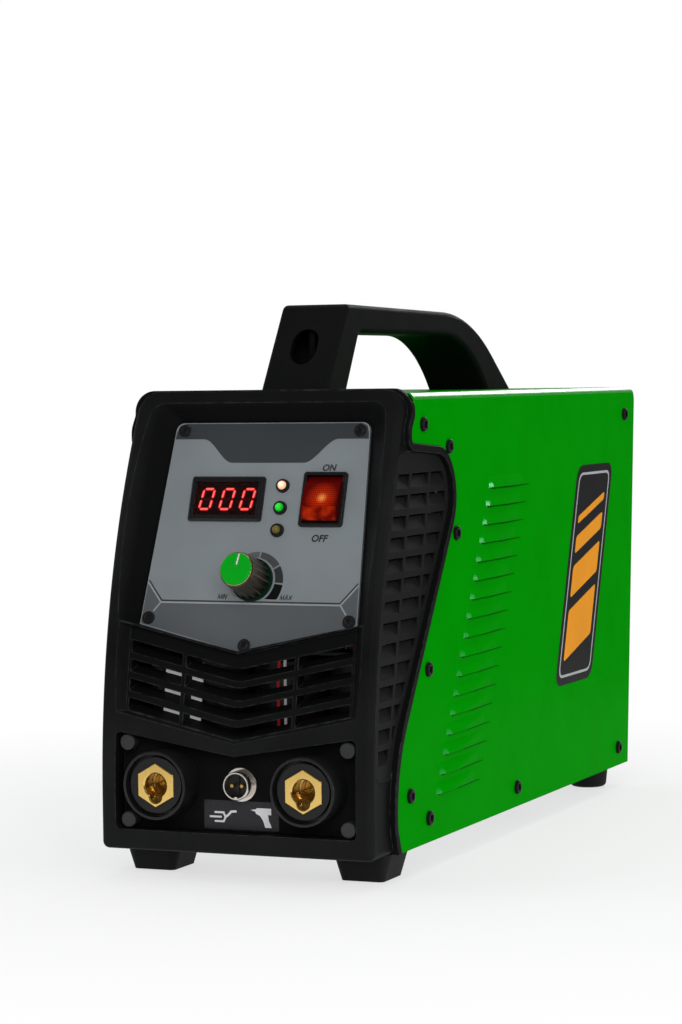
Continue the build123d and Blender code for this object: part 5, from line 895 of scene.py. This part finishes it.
hot_share = rocker.math("MULTIPLY", rocker.math("MULTIPLY", hot, hot), hot_facets)
upper = rocker.mix(hot_share, upper, (1.0, 0.56, 0.13))
patches = rocker.span(rocker.noise(*LENS_PATCHES), *PATCH_SPAN)
lens = rocker.mix(patches, (0.06, 0.001, 0.0), (0.32, 0.017, 0.001))
lit = rocker.mix(rocker.fade(up, *FOLD), upper, lens)
within = rocker.fade(rocker.math("ABSOLUTE", across, 0.0), *RIM_ACROSS)
rim = rocker.math("MULTIPLY", within, rocker.fade(up, *RIM_UP))
rocker.into("Emission Color", rocker.mix(rim, (0.012, 0.0, 0.0), lit))
rocker.into("Base Color", rocker.mix(facets, (0.03, 0.0, 0.0), (0.07, 0.002, 0.001)))
rocker.into("Normal", rocker.bump(prism, 0.25, 0.15))
dress(NODES["switch_rocker"], rocker.material)

# Knob: pointer laid into its groove, and a thin trim ring as pairs of radius and depth below the top
POINTER = (-0.35, 2.3, 0.35, 8.6)
POINTER_CORNER = 0.2
POINTER_SUNK = 0.2
POINTER_THICK = 0.3
TRIM = ((8.6, 1.5), (9.5, 1.4), (9.62, 1.25), (9.62, 0.95), (9.5, 0.8), (8.6, 0.7))
TRIM_POINTS = 72
pointer_turn = at_angle(PLATE, *KNOB_AT, -KNOB_TURN)
ink("knob_pointer", pointer_turn, [rounded(box_loop(*POINTER), POINTER_CORNER)], white_ink,
    KNOB_TOP - POINTER_SUNK, POINTER_THICK, body="knob")
trim = [ring(radius, KNOB_TOP - below, TRIM_POINTS) for radius, below in TRIM]
add_piece("knob_trim", skin("knob_trim", trim, [pointer_turn]), knob_gold, "knob")

# Label on the socket panel with two plain signs, an earth clamp and a gun
LABEL = (-23.4, 28.2, 22.4, 44.4)
LABEL_CORNER = 0.8
LABEL_OFF = 0.1
LABEL_THICK = 0.12
SIGN_OFF = 0.2
SIGN_STEP = 0.02
CLAMP_IN = 3.4
CLAMP = (
    (((0.0, -1.2), (7.4, -1.2)), 1.1),
    (((3.0, 1.3), (8.6, 1.3), (9.6, -1.2)), 1.1),
    (((3.0, -3.7), (8.6, -3.7), (9.8, -1.2)), 1.1),
    (((9.4, -1.5), (11.6, 0.2), (13.4, 2.0), (16.6, 2.2)), 1.3),
)
GUN_IN = 17.2
GUN_CORNER = 0.4
GUN_STEPS = 3
GUN = (
    (0, 3.4), (3.6, 4.0), (3.6, 4.6), (12.6, 4.6), (12.6, 1.0), (10.6, 1.0), (11.2, -2.4), (12.8, -6.2),
    (8.8, -6.2), (7.6, -2.4), (6.4, -0.6), (5.4, 0.6), (3.2, 1.4), (3.0, 2.6),
)
label_left, label_foot, label_right, label_top = LABEL
label_mid = (label_foot + label_top) / 2
ink("socket_label", PANEL, [rounded(box_loop(*LABEL), LABEL_CORNER)], label_dark, LABEL_OFF, LABEL_THICK)
for i, (points, width) in enumerate(CLAMP):
    line = stroke([(label_left + CLAMP_IN + u, label_mid + v) for u, v in points], width)
    ink("label_clamp_%d" % i, PANEL, [line], white_ink, SIGN_OFF + SIGN_STEP * i)
gun_loop = [(label_right - GUN_IN + u, label_mid + v) for u, v in GUN]
ink("label_gun", PANEL, [rounded(gun_loop, GUN_CORNER, GUN_STEPS)], white_ink, SIGN_OFF)

# Dark film painted as the shadow under each louvre along its rear half, where the sheet is not cut, and dark
# screens behind the louvres that keep the cut openings dark as shade
LOUVRES = [(LOUVRE_DEPTH - LOUVRE_SHIFT * i, LOUVRE_Z - LOUVRE_PITCH * i) for i in range(LOUVRE_ROWS)]
SLIT_SHADOW = ((35.5, -1.15), (73.5, -0.5), (73.5, -0.05), (35.5, 0.0))
SCREEN_RUN = (2, 73)
SCREEN_RISE = (8, -3)
SCREEN_CORNER = 4.0
SCREEN_OFF = -2.6
SCREEN_THICK = 0.5
first, last = LOUVRES[0], LOUVRES[-1]
screen = [(first[0] + run, first[1] + SCREEN_RISE[0]) for run in SCREEN_RUN]
screen += [(last[0] + run, last[1] + SCREEN_RISE[1]) for run in SCREEN_RUN[::-1]]
for side, sign, name in ((RIGHT, 1, "right"), (LEFT, -1, "left")):
    slit_shadows = [[(sign * (depth + u), z + v) for u, v in SLIT_SHADOW] for depth, z in LOUVRES]
    ink("louvre_slit_shadows_" + name, side, slit_shadows, slit_shadow_green)
    outline = rounded([(sign * u, v) for u, v in screen], SCREEN_CORNER)
    ink("louvre_shade_screen_" + name, side, [outline], decal_black, SCREEN_OFF, SCREEN_THICK)

# Side decal: a leaning dark panel with a thin frame and slanted bars
DECAL_FOOT = 81.0
DECAL_TOP = 221.0
DECAL_MID = 363.0
DECAL_HALF = 37.0
DECAL_LEAN = 0.36
DECAL_THICK = 0.04
PANEL_CORNER = 12.0
PANEL_OFF = 0.06
FRAME_IN = 5.0
FRAME_WIDTH = 1.6
FRAME_CORNER = 8.0
FRAME_INNER_CORNER = 6.6
FRAME_OFF = 0.1
CORNER_STEPS = 10
BARS = ((96.0, 128.0), (136.0, 156.0), (164.0, 175.0), (183.0, 188.0))
BAR_IN = 7
BAR_CLIMB = 14.0
BAR_CORNER = 3.0


def lean_to(u, v):
    return (DECAL_MID + u + (v - (DECAL_FOOT + DECAL_TOP) / 2) * DECAL_LEAN, v)


def decal_loop(inset, corner):
    """Outline of the decal, drawn in by a distance."""
    half, foot, top = DECAL_HALF - inset, DECAL_FOOT + inset, DECAL_TOP - inset
    corners = [lean_to(-half, top), lean_to(-half, foot), lean_to(half, foot), lean_to(half, top)]
    return rounded(corners, corner, CORNER_STEPS)


ink("decal_panel", RIGHT, [decal_loop(0.0, PANEL_CORNER)], decal_black, PANEL_OFF, DECAL_THICK)
frame_loops = [decal_loop(FRAME_IN, FRAME_CORNER),
               decal_loop(FRAME_IN + FRAME_WIDTH, FRAME_INNER_CORNER)]
ink("decal_frame", RIGHT, frame_loops, decal_grey, FRAME_OFF, DECAL_THICK)
bar_half = DECAL_HALF - FRAME_IN - BAR_IN
for i, (low, high) in enumerate(BARS):
    bar = [lean_to(-bar_half, low), lean_to(bar_half, low + BAR_CLIMB), lean_to(bar_half, high + BAR_CLIMB),
           lean_to(-bar_half, high)]
    ink("decal_bar_%d" % i, RIGHT, [rounded(bar, BAR_CORNER)], orange_ink, FRAME_OFF, DECAL_THICK)

# Floor, which the camera and reflections see as white away from the machine
FLOOR_RADIUS = 0.8
FLOOR_SIDES = 96
FLOOR_DROP = 0.0004
FLOOR_NOISE = (6.0, 3.0)
FLOOR_GREYS = ((0.78, 0.78, 0.78), (0.82, 0.82, 0.82))
FLOOR_WHITE = (0.64, 1.0)
FLOOR_FADE = (0.22, 0.62)


def floor_look():
    look = Look("pale_floor")
    look.set(Roughness=0.7, Specular_IOR_Level=0.2)
    look.into("Base Color", look.mix(look.noise(*FLOOR_NOISE), *FLOOR_GREYS))
    white = look.node("ShaderNodeEmission")
    white.inputs["Strength"].default_value = 1.0
    path = look.node("ShaderNodeLightPath").outputs
    mirrored = look.math("MAXIMUM", path["Is Glossy Ray"], path["Is Transmission Ray"])
    seen = look.math("MAXIMUM", path["Is Camera Ray"], mirrored)
    share = look.span(look.vector("LENGTH", look.coords), *FLOOR_WHITE, *FLOOR_FADE)
    surface = look.blend(
        look.math("MULTIPLY", seen, share), look.shader.outputs["BSDF"], white.outputs["Emission"]
    )
    look.link(surface, look.tree.nodes["Material Output"].inputs["Surface"])
    return look.material


grid = bmesh.new()
bmesh.ops.create_circle(grid, cap_ends=True, segments=FLOOR_SIDES, radius=FLOOR_RADIUS)
floor_mesh = bpy.data.meshes.new("floor")
grid.to_mesh(floor_mesh)
grid.free()
floor = bpy.data.objects.new("floor", floor_mesh)
bpy.context.scene.collection.objects.link(floor)
floor.location.z = -FLOOR_DROP
dress(floor, floor_look())

# World: white to the camera and through glass; reflections see white at the back left, else a dim room
AMBIENT_COLOUR = (0.9, 0.95, 1.0, 1.0)
AMBIENT_STRENGTH = 0.3
WHITE = (1.0, 1.0, 1.0, 1.0)
ROOM_DIM = 0.14
ROOM_RAMPS = (("Y", 0.1, 0.6), ("X", 0.34, 0.0))
world = bpy.data.worlds.new("studio")
bpy.context.scene.world = world
world.use_nodes = True
sky = Nodes(world.node_tree)
backdrop = sky.tree.nodes["Background"]
backdrop.inputs["Color"].default_value = WHITE
backdrop.inputs["Strength"].default_value = 1.0
ambient = sky.node("ShaderNodeBackground")
ambient.inputs["Color"].default_value = AMBIENT_COLOUR
ambient.inputs["Strength"].default_value = AMBIENT_STRENGTH
room = sky.node("ShaderNodeBackground")
split = sky.node("ShaderNodeSeparateXYZ")
sky.link(sky.node("ShaderNodeTexCoord").outputs["Generated"], split.inputs["Vector"])
ramps = [sky.span(split.outputs[axis], 0.0, 1.0, start, end) for axis, start, end in ROOM_RAMPS]
room_level = sky.span(sky.math("MULTIPLY", *ramps), ROOM_DIM, 1.0, 0.0, 1.0)
sky.link(room_level, room.inputs["Strength"])
path = sky.node("ShaderNodeLightPath").outputs
unseen = sky.blend(path["Is Glossy Ray"], ambient.outputs["Background"], room.outputs["Background"])
camera_or_glass = sky.math("MAXIMUM", path["Is Camera Ray"], path["Is Transmission Ray"])
surroundings = sky.blend(camera_or_glass, unseen, backdrop.outputs["Background"])
sky.link(surroundings, sky.tree.nodes["World Output"].inputs["Surface"])


# Lamps of the studio
def lamp_box(name, place, target, size, power, gloss=True):
    """Flat lamp at a place, facing a target; gloss says whether reflections show it."""
    light = bpy.data.lights.new(name, "AREA")
    light.shape = "RECTANGLE"
    light.size, light.size_y = size
    light.energy = power
    obj = bpy.data.objects.new(name, light)
    bpy.context.scene.collection.objects.link(obj)
    obj.location = place
    obj.rotation_euler = (Vector(target) - Vector(place)).to_track_quat("-Z", "Y").to_euler()
    obj.visible_glossy = gloss


lamp_box("key_right", (2.6, -0.2, 0.5), (0.08, 0.0, 0.14), (1.4, 1.2), 17.2, gloss=False)
lamp_box("fill_front", (0.5, -2.4, 1.1), (0.0, -0.2, 0.15), (1.2, 1.2), 30.0, gloss=False)
lamp_box("top", (0.0, 0.3, 2.0), (0.0, 0.0, 0.2), (1.4, 1.4), 10.0)
lamp_box("strip_hips", (2.4, 0.5, 0.35), (0.08, 0.0, 0.14), (0.25, 0.5), 12.0)
lamp_box("strip_right", (1.3, -1.9, 0.9), (0.0, -0.1, 0.15), (0.25, 1.2), 9.0)
lamp_box("strip_left", (-1.9, -0.6, 1.0), (0.0, -0.1, 0.15), (0.4, 1.2), 6.0)
lamp_box("fill_left", (-2.4, 0.7, 0.8), (-0.08, 0.0, 0.14), (1.2, 1.2), 14.0, gloss=False)
lamp_box("strip_back", (0.1, 2.3, 1.15), (0.0, 0.0, 0.25), (1.0, 0.5), 12.0)

# Camera, fitted to the photograph's viewing angle
CAMERA_AT = (0.6984, -1.7205, 0.2796)
CAMERA_RIGHT = Vector((0.9207, 0.3901, -0.0126))
CAMERA_UP = Vector((-0.0059, 0.0463, 0.9989))
CAMERA_AHEAD = Vector((-0.3903, 0.9196, -0.0449))
camera_data = bpy.data.cameras.new("camera")
camera_data.sensor_width = 36.0
camera_data.lens = 104.66
camera_data.clip_start = 0.05
camera = bpy.data.objects.new("camera", camera_data)
bpy.context.scene.collection.objects.link(camera)
camera_turn = Matrix((CAMERA_RIGHT, CAMERA_UP, -CAMERA_AHEAD)).transposed().to_4x4()
camera.matrix_world = Matrix.Translation(CAMERA_AT) @ camera_turn
bpy.context.scene.camera = camera
bpy.context.scene.view_settings.view_transform = "Standard"
